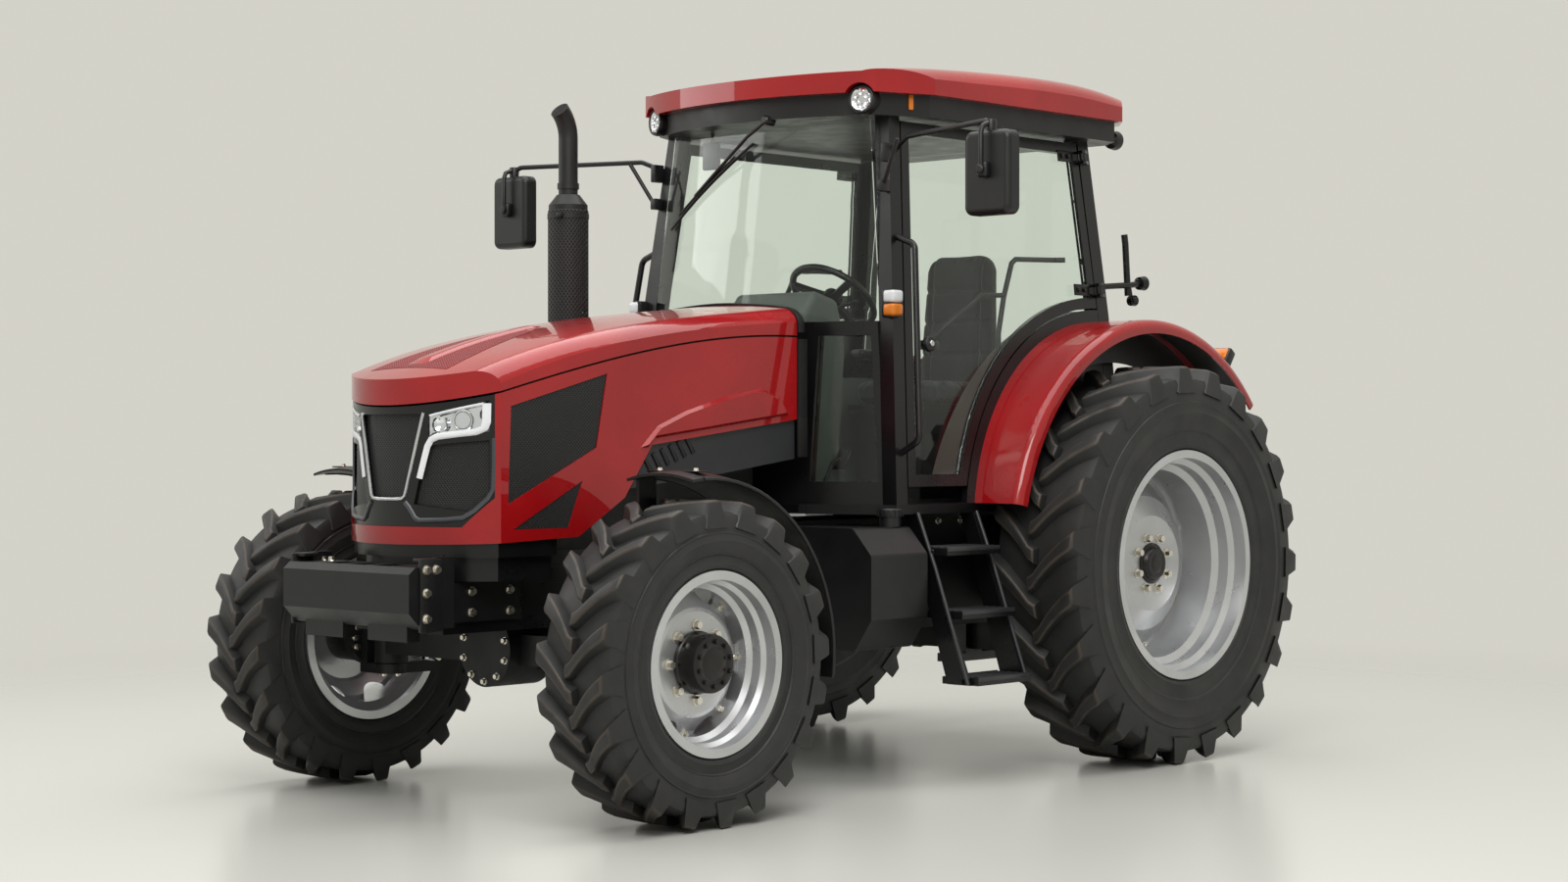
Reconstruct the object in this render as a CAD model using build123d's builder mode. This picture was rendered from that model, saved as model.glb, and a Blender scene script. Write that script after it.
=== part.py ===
from build123d import *
from math import asin, atan2, cos, degrees, radians, sin, sqrt, tan
import os

os.makedirs("parts", exist_ok=True)

# Millimetres, z up from the ground, front toward -Y, the tractor's left toward +X.

# Stance
WHEELBASE = 2830
FRONT_OVERHANG = 810        # front axle to the face of the weight carrier
REAR_OVERHANG = 1300        # rear axle to the tips of the lower links
REAR_AXLE_Y = (FRONT_OVERHANG + WHEELBASE - REAR_OVERHANG) / 2
FRONT_AXLE_Y = REAR_AXLE_Y - WHEELBASE

# Fits
FIT_GAP = 0.3               # round faces on different pieces
PANE_GAP = 0.4              # panes and mesh in their openings
DOOR_GAP = 8                # doors and lid to what frames them

# Rear wheels
REAR_TYRE_R = 878
REAR_TYRE_W = 467
REAR_RIM_R = 483
REAR_FLANGE_R = 506
REAR_RIM_W = 402
REAR_TRACK_HALF = 1097
REAR_LUGS = 23
REAR_LUG_H = 44
REAR_SHAFT_R = 55

# Front wheels
FRONT_TYRE_R = 608
FRONT_TYRE_W = 376
FRONT_RIM_R = 323
FRONT_FLANGE_R = 345
FRONT_RIM_W = 324
FRONT_TRACK_HALF = 1004
FRONT_LUGS = 20
FRONT_LUG_H = 38
SPINDLE_R = 60
RIM_T = 12

# Steering
KING_PIN_X = 730
KING_PIN_R = 25
KING_BOSS_R = 70
KING_BOSS_H = 200
STEER_ARM = 170             # king pin to the track rod, rearward
TRACK_ROD_Z = FRONT_TYRE_R - 73
TRACK_ROD_R = 16

# Cab
SILL_Z = 1160
SCREEN_MID = 1590           # foot of the windscreen, ahead of the rear axle, in the middle
SCREEN_SIDE = SCREEN_MID - 190      # and at the posts
SCREEN_HALF = 770
CAB_SIDE_X = 840            # outside of the cab at the sill
CAB_LEAN = 6.27             # lean of the cab's sides, inward going up
SCREEN_LEAN = 5.5           # lean of the windscreen, back going up
POST_DEPTH = 76
HEAD_Z = 2800               # top of the posts
HEADLINER_T = 90
WAIST_Z = 1900              # bar between windscreen and lower panes
WING_AHEAD = -100           # centre of the wing's arc
WING_Z = 920
WING_R = 1050
WING_T = 10
WING_OUT_X = 1080
DOOR_T = 34
DOOR_FRAME_W = 50
DOOR_SILL_Z = 1235
DOOR_HEAD_Z = 2785
DOOR_ARC_R = WING_R + 60
GLASS_T = 6

# Bonnet
HOOD_REAR = SCREEN_MID + 50         # ahead of the rear axle
HOOD_NOSE = WHEELBASE + 620
HOOD_CORNER = HOOD_NOSE - 200
HOOD_REAR_HALF = 470
HOOD_FRONT_HALF = 440
HOOD_T = 14


def ahead(distance):
    """y of a point this far ahead of the rear axle."""
    return REAR_AXLE_Y - distance


def bonnet(share):
    """y of a point at this share of the bonnet's length, from its rear edge to its nose."""
    return ahead(HOOD_REAR + share * (HOOD_NOSE - HOOD_REAR))


def save(piece, name):
    piece.part.label = name
    export_step(piece.part, f"parts/{name}.step")


def across(distance):
    """Upright plane facing forward, this far ahead of the rear axle; drawn in x and z."""
    return Plane(origin=(0, ahead(distance), 0), x_dir=(1, 0, 0), z_dir=(0, -1, 0))


def side_plane(depth=0):
    """Plane of the cab's left side, or one this deep inside it; drawn in y and height along the lean."""
    lean = radians(CAB_LEAN)
    outside = Plane(origin=(CAB_SIDE_X, 0, SILL_Z), x_dir=(0, 1, 0), z_dir=(cos(lean), 0, sin(lean)))
    return outside.offset(-depth)


def on_side(distance, z):
    """A point of the cab's side, from its distance ahead of the rear axle and its height."""
    return (ahead(distance), (z - SILL_Z) / cos(radians(CAB_LEAN)))


def inner_half(z):
    """Half width between the posts at this height."""
    lean = radians(CAB_LEAN)
    return CAB_SIDE_X - (z - SILL_Z) * tan(lean) - POST_DEPTH / cos(lean)


# Tyres: a revolved carcass with two staggered rows of bars that reach from the middle to the shoulder

def build_tyre(centre, radius, width, rim_r, flange_r, rim_w, lug_count, lug_height):
    axle = Axis(centre, (1, 0, 0))
    section = Plane(origin=centre, x_dir=(1, 0, 0), z_dir=(0, -1, 0))
    crown = Plane(origin=(centre[0], centre[1], centre[2] + radius - 2 * lug_height))
    half = width / 2
    bead = rim_w / 2 - RIM_T - FIT_GAP
    bead_r = rim_r + FIT_GAP
    belly_r = (flange_r + radius) / 2 - 20
    tread_r = radius - lug_height
    shoulder = half * 0.9
    heel = (bead, flange_r + 6)
    edge = (shoulder, tread_r - 14)
    bar = lug_height * 1.6
    sweep_back = half * 0.86
    bend = (half * 0.5, sweep_back * 0.62)
    with BuildPart() as lug:
        with BuildSketch(crown):
            Polygon(
                (-bar / 4, -bar / 2),
                (bend[0], bend[1] - bar / 2),
                (half - 3, sweep_back - bar / 2),
                (half - 3, sweep_back + bar / 2),
                (bend[0], bend[1] + bar / 2),
                (-bar / 4, bar / 2),
            )
        extrude(amount=3 * lug_height, taper=5)
        with BuildSketch(section):
            with Locations((0, radius / 2)):
                Rectangle(2 * width, radius)
        revolve(axis=axle, mode=Mode.INTERSECT)
    pitch = 360 / lug_count
    middle = Plane(origin=centre, z_dir=(1, 0, 0))
    other = lug.part.mirror(middle).rotate(axle, pitch / 2)
    bars = [lug.part.rotate(axle, pitch * k) for k in range(lug_count)]
    bars += [other.rotate(axle, pitch * k) for k in range(lug_count)]
    with BuildPart() as tyre:
        with BuildSketch(section):
            with BuildLine():
                Polyline((-heel[0], heel[1]), (-bead, bead_r), (bead, bead_r), heel)
                ThreePointArc(heel, (half, belly_r), edge)
                ThreePointArc(edge, (0, tread_r), (-edge[0], edge[1]))
                ThreePointArc((-edge[0], edge[1]), (-half, belly_r), (-heel[0], heel[1]))
            make_face()
        revolve(axis=axle)
        add(bars)
    return tyre


rear_centre = (REAR_TRACK_HALF, REAR_AXLE_Y, REAR_TYRE_R)
rear_tyre_left = build_tyre(
    rear_centre, REAR_TYRE_R, REAR_TYRE_W, REAR_RIM_R, REAR_FLANGE_R, REAR_RIM_W, REAR_LUGS, REAR_LUG_H
)
save(rear_tyre_left, "rear_tyre_left")
with BuildPart() as rear_tyre_right:
    add(rear_tyre_left.part.moved(Location((-2 * REAR_TRACK_HALF, 0, 0))))
save(rear_tyre_right, "rear_tyre_right")

front_centre = (FRONT_TRACK_HALF, FRONT_AXLE_Y, FRONT_TYRE_R)
front_tyre_left = build_tyre(
    front_centre, FRONT_TYRE_R, FRONT_TYRE_W, FRONT_RIM_R, FRONT_FLANGE_R, FRONT_RIM_W, FRONT_LUGS, FRONT_LUG_H
)
save(front_tyre_left, "front_tyre_left")
with BuildPart() as front_tyre_right:
    add(front_tyre_left.part.moved(Location((-2 * FRONT_TRACK_HALF, 0, 0))))
save(front_tyre_right, "front_tyre_right")

# Wheels: rim, dished disc and hub turned as one; x is counted outward from the tyre's middle


def rim_outline(rim_r, flange_r, rim_w):
    """Section of a rim: flanges, bead seats and a well that steps down in two ledges toward the disc."""
    out = rim_w / 2
    seat = out - RIM_T
    ledge_r = rim_r * 0.95
    well_r = rim_r * 0.89
    well = [
        (0.70 * out, rim_r), (0.61 * out, ledge_r), (0.35 * out, ledge_r), (0.25 * out, well_r),
        (-0.74 * out, well_r), (-0.84 * out, rim_r),
    ]
    bore_r = rim_r - RIM_T
    inside = [(x, r - RIM_T) for x, r in reversed(well)]
    return [
        (out, bore_r), (out, flange_r), (seat, flange_r), (seat, rim_r), *well,
        (-seat, rim_r), (-seat, flange_r), (-out, flange_r), (-out, bore_r), *inside,
    ]


rear_section = Plane(origin=rear_centre, x_dir=(1, 0, 0), z_dir=(0, -1, 0))
rear_bore_r = REAR_SHAFT_R + FIT_GAP
with BuildPart() as rear_wheel_left:
    with BuildSketch(rear_section):
        Polygon(*rim_outline(REAR_RIM_R, REAR_FLANGE_R, REAR_RIM_W))
        Polygon(
            (-148, 424), (-132, 424), (-126, 395), (-30, 300), (13, 212), (13, 100), (-7, 100), (-7, 207),
            (-46, 290), (-142, 388),
        )
        Polygon(
            (-190, rear_bore_r), (-190, 140), (13, 140), (13, 75), (40, 62), (40, 0), (-10, 0),
            (-10, rear_bore_r),
        )
    revolve(axis=Axis(rear_centre, (1, 0, 0)))
save(rear_wheel_left, "rear_wheel_left")
with BuildPart() as rear_wheel_right:
    mirror(rear_wheel_left.part, about=Plane.YZ)
save(rear_wheel_right, "rear_wheel_right")

front_section = Plane(origin=front_centre, x_dir=(1, 0, 0), z_dir=(0, -1, 0))
spindle_bore_r = SPINDLE_R + FIT_GAP
LOBES = 8                   # of the front disc, where it bolts to the rim
with BuildPart(Plane(origin=front_centre, z_dir=(1, 0, 0))) as front_disc:
    with BuildSketch(front_section):
        Polygon(
            (-34, 281), (-18, 281), (-10, 262), (40, 205), (46, 190), (46, 90), (30, 90), (30, 186), (24, 200),
            (-26, 255),
        )
    revolve(axis=Axis(front_centre, (1, 0, 0)))
    with PolarLocations(292, LOBES, start_angle=180 / LOBES):
        Cylinder(62, 200, mode=Mode.SUBTRACT)
with BuildPart() as front_wheel_left:
    add(front_disc.part)
    with BuildSketch(front_section):
        Polygon(*rim_outline(FRONT_RIM_R, FRONT_FLANGE_R, FRONT_RIM_W))
        Polygon(
            (-95, spindle_bore_r), (-95, 105), (60, 105), (60, 86), (142, 78), (142, 0), (20, 0),
            (20, spindle_bore_r),
        )
    revolve(axis=Axis(front_centre, (1, 0, 0)))
save(front_wheel_left, "front_wheel_left")
with BuildPart() as front_wheel_right:
    mirror(front_wheel_left.part, about=Plane.YZ)
save(front_wheel_right, "front_wheel_right")

# Front axle: driven beam with a central housing, a king-pin boss at each end and the steering cylinder behind

FRAME_LOW = FRONT_TYRE_R + 92
SADDLE_Z = FRAME_LOW + 120  # middle of the frame's cross member over the axle
with BuildPart() as front_axle:
    with Locations((0, FRONT_AXLE_Y, FRONT_TYRE_R)):
        Box(2 * KING_PIN_X, 120, 120)
        Cylinder(150, 240, rotation=(90, 0, 0))
    with Locations((0, FRONT_AXLE_Y, (FRONT_TYRE_R + SADDLE_Z - 20) / 2)):
        Box(220, 160, SADDLE_Z - 20 - FRONT_TYRE_R)
    with Locations((KING_PIN_X, FRONT_AXLE_Y, FRONT_TYRE_R), (-KING_PIN_X, FRONT_AXLE_Y, FRONT_TYRE_R)):
        Cylinder(KING_BOSS_R, KING_BOSS_H)
    with Locations((0, FRONT_AXLE_Y + STEER_ARM, TRACK_ROD_Z)):
        Cylinder(38, 440, rotation=(0, 90, 0))
    with Locations((150, FRONT_AXLE_Y + 100, TRACK_ROD_Z + 15), (-150, FRONT_AXLE_Y + 100, TRACK_ROD_Z + 15)):
        Box(50, 110, 50)
    with Locations((0, FRONT_AXLE_Y + STEER_ARM, TRACK_ROD_Z)):
        Cylinder(TRACK_ROD_R + FIT_GAP, 500, rotation=(0, 90, 0), mode=Mode.SUBTRACT)
    with Locations((KING_PIN_X, FRONT_AXLE_Y, FRONT_TYRE_R), (-KING_PIN_X, FRONT_AXLE_Y, FRONT_TYRE_R)):
        Cylinder(KING_PIN_R + FIT_GAP, 2 * KING_BOSS_H, mode=Mode.SUBTRACT)
save(front_axle, "front_axle")

# Knuckles: a yoke round the king-pin boss, a spindle for the hub and an arm to the track rod

yoke_gap = 5
yoke_t = 40
yoke_z = KING_BOSS_H / 2 + yoke_gap + yoke_t / 2
web_x = KING_PIN_X + KING_BOSS_R + 15
spindle_end = FRONT_TRACK_HALF + 16
with BuildPart() as knuckle_left:
    with Locations((KING_PIN_X, FRONT_AXLE_Y, FRONT_TYRE_R)):
        Cylinder(KING_PIN_R, KING_BOSS_H + 2 * yoke_gap + 20)
    for z in (FRONT_TYRE_R + yoke_z, FRONT_TYRE_R - yoke_z):
        with Locations((KING_PIN_X, FRONT_AXLE_Y, z)):
            Cylinder(65, yoke_t)
        with Locations(((KING_PIN_X + web_x + 45) / 2, FRONT_AXLE_Y, z)):
            Box(web_x + 45 - KING_PIN_X, 120, yoke_t)
    with Locations((web_x + 22.5, FRONT_AXLE_Y, FRONT_TYRE_R)):
        Box(45, 120, 2 * yoke_z + yoke_t)
    with Locations((web_x + 60, FRONT_AXLE_Y, FRONT_TYRE_R)):
        Cylinder(115, 50, rotation=(0, 90, 0))
    with Locations(((web_x + spindle_end) / 2, FRONT_AXLE_Y, FRONT_TYRE_R)):
        Cylinder(SPINDLE_R, spindle_end - web_x, rotation=(0, 90, 0))
    with BuildSketch(Plane.XY.offset(FRONT_TYRE_R - yoke_z - yoke_t / 2)):
        Polygon(
            (KING_PIN_X - 60, FRONT_AXLE_Y + STEER_ARM + 30), (KING_PIN_X, FRONT_AXLE_Y + STEER_ARM + 30),
            (KING_PIN_X + 60, FRONT_AXLE_Y), (KING_PIN_X - 50, FRONT_AXLE_Y),
        )
    extrude(amount=yoke_t)
save(knuckle_left, "knuckle_left")
with BuildPart() as knuckle_right:
    mirror(knuckle_left.part, about=Plane.YZ)
save(knuckle_right, "knuckle_right")

# Track rod: slides in the steering cylinder, its eyes over the knuckles' arms

rod_eye_x = KING_PIN_X - 30
with BuildPart() as track_rod:
    with Locations((0, FRONT_AXLE_Y + STEER_ARM, TRACK_ROD_Z)):
        Cylinder(TRACK_ROD_R, 2 * rod_eye_x, rotation=(0, 90, 0))
    with Locations(
        (rod_eye_x, FRONT_AXLE_Y + STEER_ARM, TRACK_ROD_Z), (-rod_eye_x, FRONT_AXLE_Y + STEER_ARM, TRACK_ROD_Z)
    ):
        Cylinder(28, 44)
save(track_rod, "track_rod")

# Front mudguards: each on a strap from the knuckle's yoke, round the back and top of the tyre

guard_r = FRONT_TYRE_R + 92
guard_in = 780
guard_out = 1130
guard_first = -8            # degrees from level behind the wheel, up and over to the front
guard_last = 98
guard_mid = (guard_in + guard_out) / 2
guard_start = radians(guard_first)
guard_section = Plane(
    origin=(0, FRONT_AXLE_Y, FRONT_TYRE_R), x_dir=(1, 0, 0), z_dir=(0, -sin(guard_start), cos(guard_start))
)
with BuildPart() as mudguard_left:
    with BuildSketch(guard_section):
        with BuildLine():
            ThreePointArc((guard_in, guard_r - 14), (guard_mid, guard_r + 10), (guard_out, guard_r - 14))
            Line((guard_out, guard_r - 14), (guard_out, guard_r - 24))
            ThreePointArc((guard_out, guard_r - 24), (guard_mid, guard_r), (guard_in, guard_r - 24))
            Line((guard_in, guard_r - 24), (guard_in, guard_r - 14))
        make_face()
    revolve(axis=Axis((0, FRONT_AXLE_Y, FRONT_TYRE_R), (1, 0, 0)), revolution_arc=guard_last - guard_first)
    strap_low = FRONT_TYRE_R + yoke_z + yoke_t / 2
    strap_high = FRONT_TYRE_R + guard_r - 18
    with Locations((guard_in + 8, FRONT_AXLE_Y, (strap_low + strap_high) / 2)):
        Box(16, 90, strap_high - strap_low)
save(mudguard_left, "mudguard_left")
with BuildPart() as mudguard_right:
    mirror(mudguard_left.part, about=Plane.YZ)
save(mudguard_right, "mudguard_right")

# Bonnet outlines shared by the pieces below

SEAM = [(0, 1858), (0.58, 1742), (0.89, 1608), (1.017, 1548)]       # share of the length, height
HOOD_SECTIONS = [(-0.022, 472, 2010), (0.42, 462, 1928), (0.751, 448, 1815), (1.028, 436, 1640)]
CROWN_DROP = 22             # from the middle of the bonnet to the edge of its rounded shoulder
SHOULDER_IN = 85
SHOULDER_H = 92


def hood_section(share, half, crown, inset):
    """Cross-section of the bonnet: upright sides, rounded shoulders and a crowned top."""
    turn = (half - inset, crown - CROWN_DROP - SHOULDER_H)
    top = (half - SHOULDER_IN, crown - CROWN_DROP - inset)
    with BuildSketch(across(REAR_AXLE_Y - bonnet(share))) as face:
        with BuildLine():
            Polyline((-turn[0], turn[1]), (-turn[0], 1300), (turn[0], 1300), turn)
            TangentArc(turn, top, tangent=(0, 1))
            ThreePointArc(top, (0, crown - inset), (-top[0], top[1]))
            TangentArc((-turn[0], turn[1]), (-top[0], top[1]), tangent=(0, 1))
        make_face()
    return face.sketch.face()


def hood_plan(inset, z, height):
    """Solid of the bonnet's plan, inset by the given amount, open backward past the lid's rear edge."""
    rear_y = ahead(HOOD_REAR - 200)
    corner_y = ahead(HOOD_CORNER)
    with BuildPart() as body:
        with BuildSketch(Plane.XY.offset(z)):
            with BuildLine():
                front = HOOD_FRONT_HALF - inset
                rear = HOOD_REAR_HALF - inset
                Line((-rear, rear_y), (-front, corner_y))
                ThreePointArc((-front, corner_y), (0, ahead(HOOD_NOSE - inset)), (front, corner_y))
                Line((front, corner_y), (rear, rear_y))
                Line((rear, rear_y), (-rear, rear_y))
            make_face()
        extrude(amount=height)
    return body.part


def seam_body(lift, low):
    """Solid across the bonnet between the seam, lifted by the given amount, and a level line."""
    with BuildPart() as body:
        with BuildSketch(Plane.YZ):
            with BuildLine():
                points = [(bonnet(share), z + lift) for share, z in SEAM]
                Spline(*points)
                Polyline(points[-1], (points[-1][0], low), (points[0][0], low), points[0])
            make_face()
        extrude(amount=600, both=True)
    return body.part


# Front frame: two rails under the engine, a cross plate at the nose and an apron under the bumper

RAIL_IN = 220
RAIL_OUT = 260
FRAME_TOP = 1000
FRAME_NOSE = WHEELBASE + 550
FRAME_REAR = HOOD_REAR + 10
APRON_LOW = 900
APRON_TOP = 1095
with BuildPart() as apron_band:
    add(hood_plan(HOOD_T + FIT_GAP, APRON_TOP - 105, 105))
    add(hood_plan(HOOD_T + FIT_GAP + 20, APRON_LOW, 300), mode=Mode.SUBTRACT)
    with Locations((0, ahead(FRAME_NOSE + 80), APRON_TOP)):
        Box(1200, 1000, 400, mode=Mode.INTERSECT)
with BuildPart() as front_frame:
    with BuildSketch(Plane.YZ.offset(RAIL_IN)):
        Polygon(
            (ahead(FRAME_NOSE), FRAME_TOP), (ahead(FRAME_REAR), FRAME_TOP), (ahead(FRAME_REAR), FRAME_LOW + 80),
            (ahead(WHEELBASE - 330), FRAME_LOW + 80), (ahead(WHEELBASE - 150), FRAME_LOW),
            (ahead(FRAME_NOSE), FRAME_LOW),
        )
    extrude(amount=RAIL_OUT - RAIL_IN)
    mirror(about=Plane.YZ)
    with Locations((0, ahead(FRAME_NOSE - 20), (FRAME_TOP + FRAME_LOW) / 2)):
        Box(2 * RAIL_OUT, 40, FRAME_TOP - FRAME_LOW)
    with Locations((0, FRONT_AXLE_Y, SADDLE_Z)):
        Box(2 * RAIL_OUT, 200, 40)
    with BuildSketch(Plane.XY.offset(APRON_LOW)):
        with BuildLine():
            outer_y = ahead(FRAME_NOSE - 150)
            inner_y = ahead(FRAME_NOSE - 160)
            apron_rear = ahead(FRAME_NOSE - 420)
            outer = [(-400, outer_y), (0, ahead(FRAME_NOSE + 40)), (400, outer_y)]
            inner = [(380, inner_y), (0, ahead(FRAME_NOSE)), (-380, inner_y)]
            ThreePointArc(*outer)
            Polyline(outer[2], (400, apron_rear), (380, apron_rear), inner[0])
            ThreePointArc(*inner)
            Polyline(inner[2], (-380, apron_rear), (-400, apron_rear), outer[0])
        make_face()
    extrude(amount=125)
    with Locations((0, ahead(FRAME_NOSE - 280), 980)):
        Box(780, 60, 40)
    add(apron_band.part)
save(front_frame, "front_frame")

# Weight carrier: a deep cast box hung on the nose of the frame

CARRIER_HALF = 378
CARRIER_TOP = 965
CARRIER_LOW = 735
carrier_front = WHEELBASE + FRONT_OVERHANG
with BuildPart() as weight_carrier:
    with BuildSketch(Plane.YZ):
        Polygon(
            (ahead(carrier_front), CARRIER_TOP - 25), (ahead(carrier_front - 30), CARRIER_TOP),
            (ahead(FRAME_NOSE + 45), CARRIER_TOP), (ahead(FRAME_NOSE + 45), CARRIER_LOW),
            (ahead(carrier_front - 60), CARRIER_LOW),
            (ahead(carrier_front), CARRIER_LOW + 60),
        )
    extrude(amount=CARRIER_HALF, both=True)
    with Locations((0, ahead(FRAME_NOSE + 22.5), 800)):
        Box(400, 45, 190)
    for side in (1, -1):
        with Locations((side * 190, ahead(carrier_front - 80), CARRIER_LOW - 20)):
            Box(230, 60, 60)
        with Locations((side * (RAIL_OUT + 12), ahead(FRAME_NOSE - 155), 820)):
            Box(24, 420, 150)
        with Locations((side * (CARRIER_HALF - 11), ahead(FRAME_NOSE + 90), CARRIER_TOP - 20)):
            Box(22, 90, 110)
    for x in (-150, 0, 150):
        with Locations((x, ahead(carrier_front - 110), CARRIER_TOP)):
            Box(110, 120, 24, mode=Mode.SUBTRACT)
save(weight_carrier, "weight_carrier")

# Engine: block with sump between the rails, radiator behind the grille

ENGINE_REAR = FRAME_REAR
ENGINE_FRONT = WHEELBASE + 70
ENGINE_LOW = SADDLE_Z + 20
ENGINE_TOP = 1420
SUMP_FRONT = WHEELBASE - 370
SUMP_REAR = ENGINE_REAR + 50
RADIATOR_AHEAD = WHEELBASE + 200
with BuildPart() as engine_block:
    with Locations((0, ahead((ENGINE_FRONT + ENGINE_REAR) / 2), (ENGINE_LOW + ENGINE_TOP) / 2)):
        Box(2 * RAIL_IN, ENGINE_FRONT - ENGINE_REAR, ENGINE_TOP - ENGINE_LOW)
    with Locations((0, ahead((SUMP_FRONT + SUMP_REAR) / 2), ENGINE_LOW - 110)):
        Box(360, SUMP_FRONT - SUMP_REAR, 230)
    with Locations((0, ahead(RADIATOR_AHEAD), 1260)):
        Box(720, 120, 520)
    with Locations((0, ahead(RADIATOR_AHEAD - 90), 1200)):
        Box(300, 90, 200)
save(engine_block, "engine_block")

# Gearbox and rear housing, with the lift bosses, lower-link pins and the power take-off shaft

PTO_R = 17.5
PTO_END = 600               # behind the rear axle
PTO_Z = 640
LIFT_SHAFT_BACK = 330
LIFT_SHAFT_Z = 1090
LIFT_SHAFT_R = 40
LINK_PIN_BACK = 60
LINK_PIN_Z = 470
LINK_PIN_R = 16
LINK_PIN_X = 300            # middle of the link's front eye
TOP_LINK_BACK = 480
TOP_LINK_Z = 930
with BuildPart() as gearbox:
    with Locations((0, ahead((ENGINE_REAR + 600) / 2), 850)):
        Box(460, ENGINE_REAR - 600, 460)
    with Locations((0, ahead(90), 850)):
        Box(520, 1020, 540)
    with Locations((0, ahead(-300), 700)):
        Box(440, 240, 420)
    with Locations((0, ahead(-LIFT_SHAFT_BACK), LIFT_SHAFT_Z - 20)):
        Box(520, 180, 150)
    with Locations((0, ahead(-LINK_PIN_BACK), LINK_PIN_Z)):
        Cylinder(LINK_PIN_R, 2 * (LINK_PIN_X + 28), rotation=(0, 90, 0))
    with Locations((0, ahead(-LINK_PIN_BACK), 530)):
        Box(540, 120, 180)
    with Locations((0, ahead(-(PTO_END + 420) / 2), PTO_Z)):
        Cylinder(PTO_R, PTO_END - 420, rotation=(90, 0, 0))
    with Locations((45, ahead(-450), TOP_LINK_Z), (-45, ahead(-450), TOP_LINK_Z)):
        Box(30, 100, 120)
    with Locations((0, ahead(-415), TOP_LINK_Z)):
        Box(120, 40, 140)
    with Locations((0, ahead(-LIFT_SHAFT_BACK), LIFT_SHAFT_Z)):
        Cylinder(LIFT_SHAFT_R + FIT_GAP, 700, rotation=(0, 90, 0), mode=Mode.SUBTRACT)
save(gearbox, "gearbox")

# Rear axle: a housing with a flange on each side of the gearbox, shafts into the wheels' hubs

shaft_end = REAR_TRACK_HALF - 15
with BuildPart() as rear_axle:
    with BuildSketch(Plane(origin=(0, REAR_AXLE_Y, REAR_TYRE_R), x_dir=(1, 0, 0), z_dir=(0, -1, 0))):
        Polygon(
            (260, 0), (260, 210), (320, 210), (360, 150), (760, 125), (760, 160), (800, 160), (800, 105),
            (890, 95), (890, REAR_SHAFT_R), (shaft_end, REAR_SHAFT_R), (shaft_end, 0),
        )
    revolve(axis=Axis((0, REAR_AXLE_Y, REAR_TYRE_R), (1, 0, 0)))
    mirror(about=Plane.YZ)
save(rear_axle, "rear_axle")

# Bonnet: a lid above the seam, a lower shell round the sides and nose, mesh and lamps in a mask

LID_PIN_AHEAD = SCREEN_MID + 32
LID_PIN_Z = 1900
LID_PIN_R = 10
LID_EAR_X = 190
LID_EAR_T = 12
with BuildPart() as lid_outside:
    loft([hood_section(*section, 0) for section in HOOD_SECTIONS])
    add(hood_plan(0, 1300, 900), mode=Mode.INTERSECT)
with BuildPart() as lid_inside:
    loft([hood_section(*section, HOOD_T) for section in HOOD_SECTIONS])
    add(hood_plan(HOOD_T, 1200, 1100), mode=Mode.INTERSECT)
with BuildPart() as hood_lid:
    add(lid_outside.part)
    add(lid_inside.part, mode=Mode.SUBTRACT)
    add(seam_body(DOOR_GAP, 2300), mode=Mode.INTERSECT)
    for x in (LID_EAR_X, -LID_EAR_X - LID_EAR_T):
        with BuildSketch(Plane.YZ.offset(x)):
            with Locations((ahead(LID_PIN_AHEAD), LID_PIN_Z)):
                Circle(22)
            Polygon(
                (ahead(LID_PIN_AHEAD) - 22, LID_PIN_Z), (ahead(LID_PIN_AHEAD) + 22, LID_PIN_Z),
                (ahead(HOOD_REAR + 5), 1994), (ahead(HOOD_REAR + 120), 1980),
            )
            with Locations((ahead(LID_PIN_AHEAD), LID_PIN_Z)):
                Circle(LID_PIN_R + FIT_GAP, mode=Mode.SUBTRACT)
        extrude(amount=LID_EAR_T)
save(hood_lid, "hood_lid")

BUMPER_Z = 1035
SHELL_LOW = [(1.028, BUMPER_Z), (0.674, 1060), (0.541, 1205), (0.459, 1412), (0, 1516)]
MASK = [(-425, 1700), (-425, 1215), (-330, 1105), (330, 1105), (425, 1215), (425, 1700)]
SIDE_MESH = [(0.862, 1560), (0.592, 1690), (0.623, 1402), (0.87, 1190)]
LOW_MESH = [(0.663, 1275), (0.703, 1095), (0.856, 1095)]
SWAGE = [
    (0.495, 1400), (0.442, 1488), (0.357, 1547), (0.233, 1608), (0.117, 1643), (0.055, 1600), (0.028, 1534),
    (0.45, 1438), (0.471, 1402),
]
SWAGE_OUT = 14
panel_turn = atan2(HOOD_REAR_HALF - HOOD_FRONT_HALF, HOOD_CORNER - HOOD_REAR + 200)
panel_x = HOOD_REAR_HALF - ahead(HOOD_REAR - 200) * tan(panel_turn)
side_panel = Plane(
    origin=(panel_x, 0, 0),
    x_dir=(sin(panel_turn), cos(panel_turn), 0),
    z_dir=(cos(panel_turn), -sin(panel_turn), 0),
)
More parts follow.
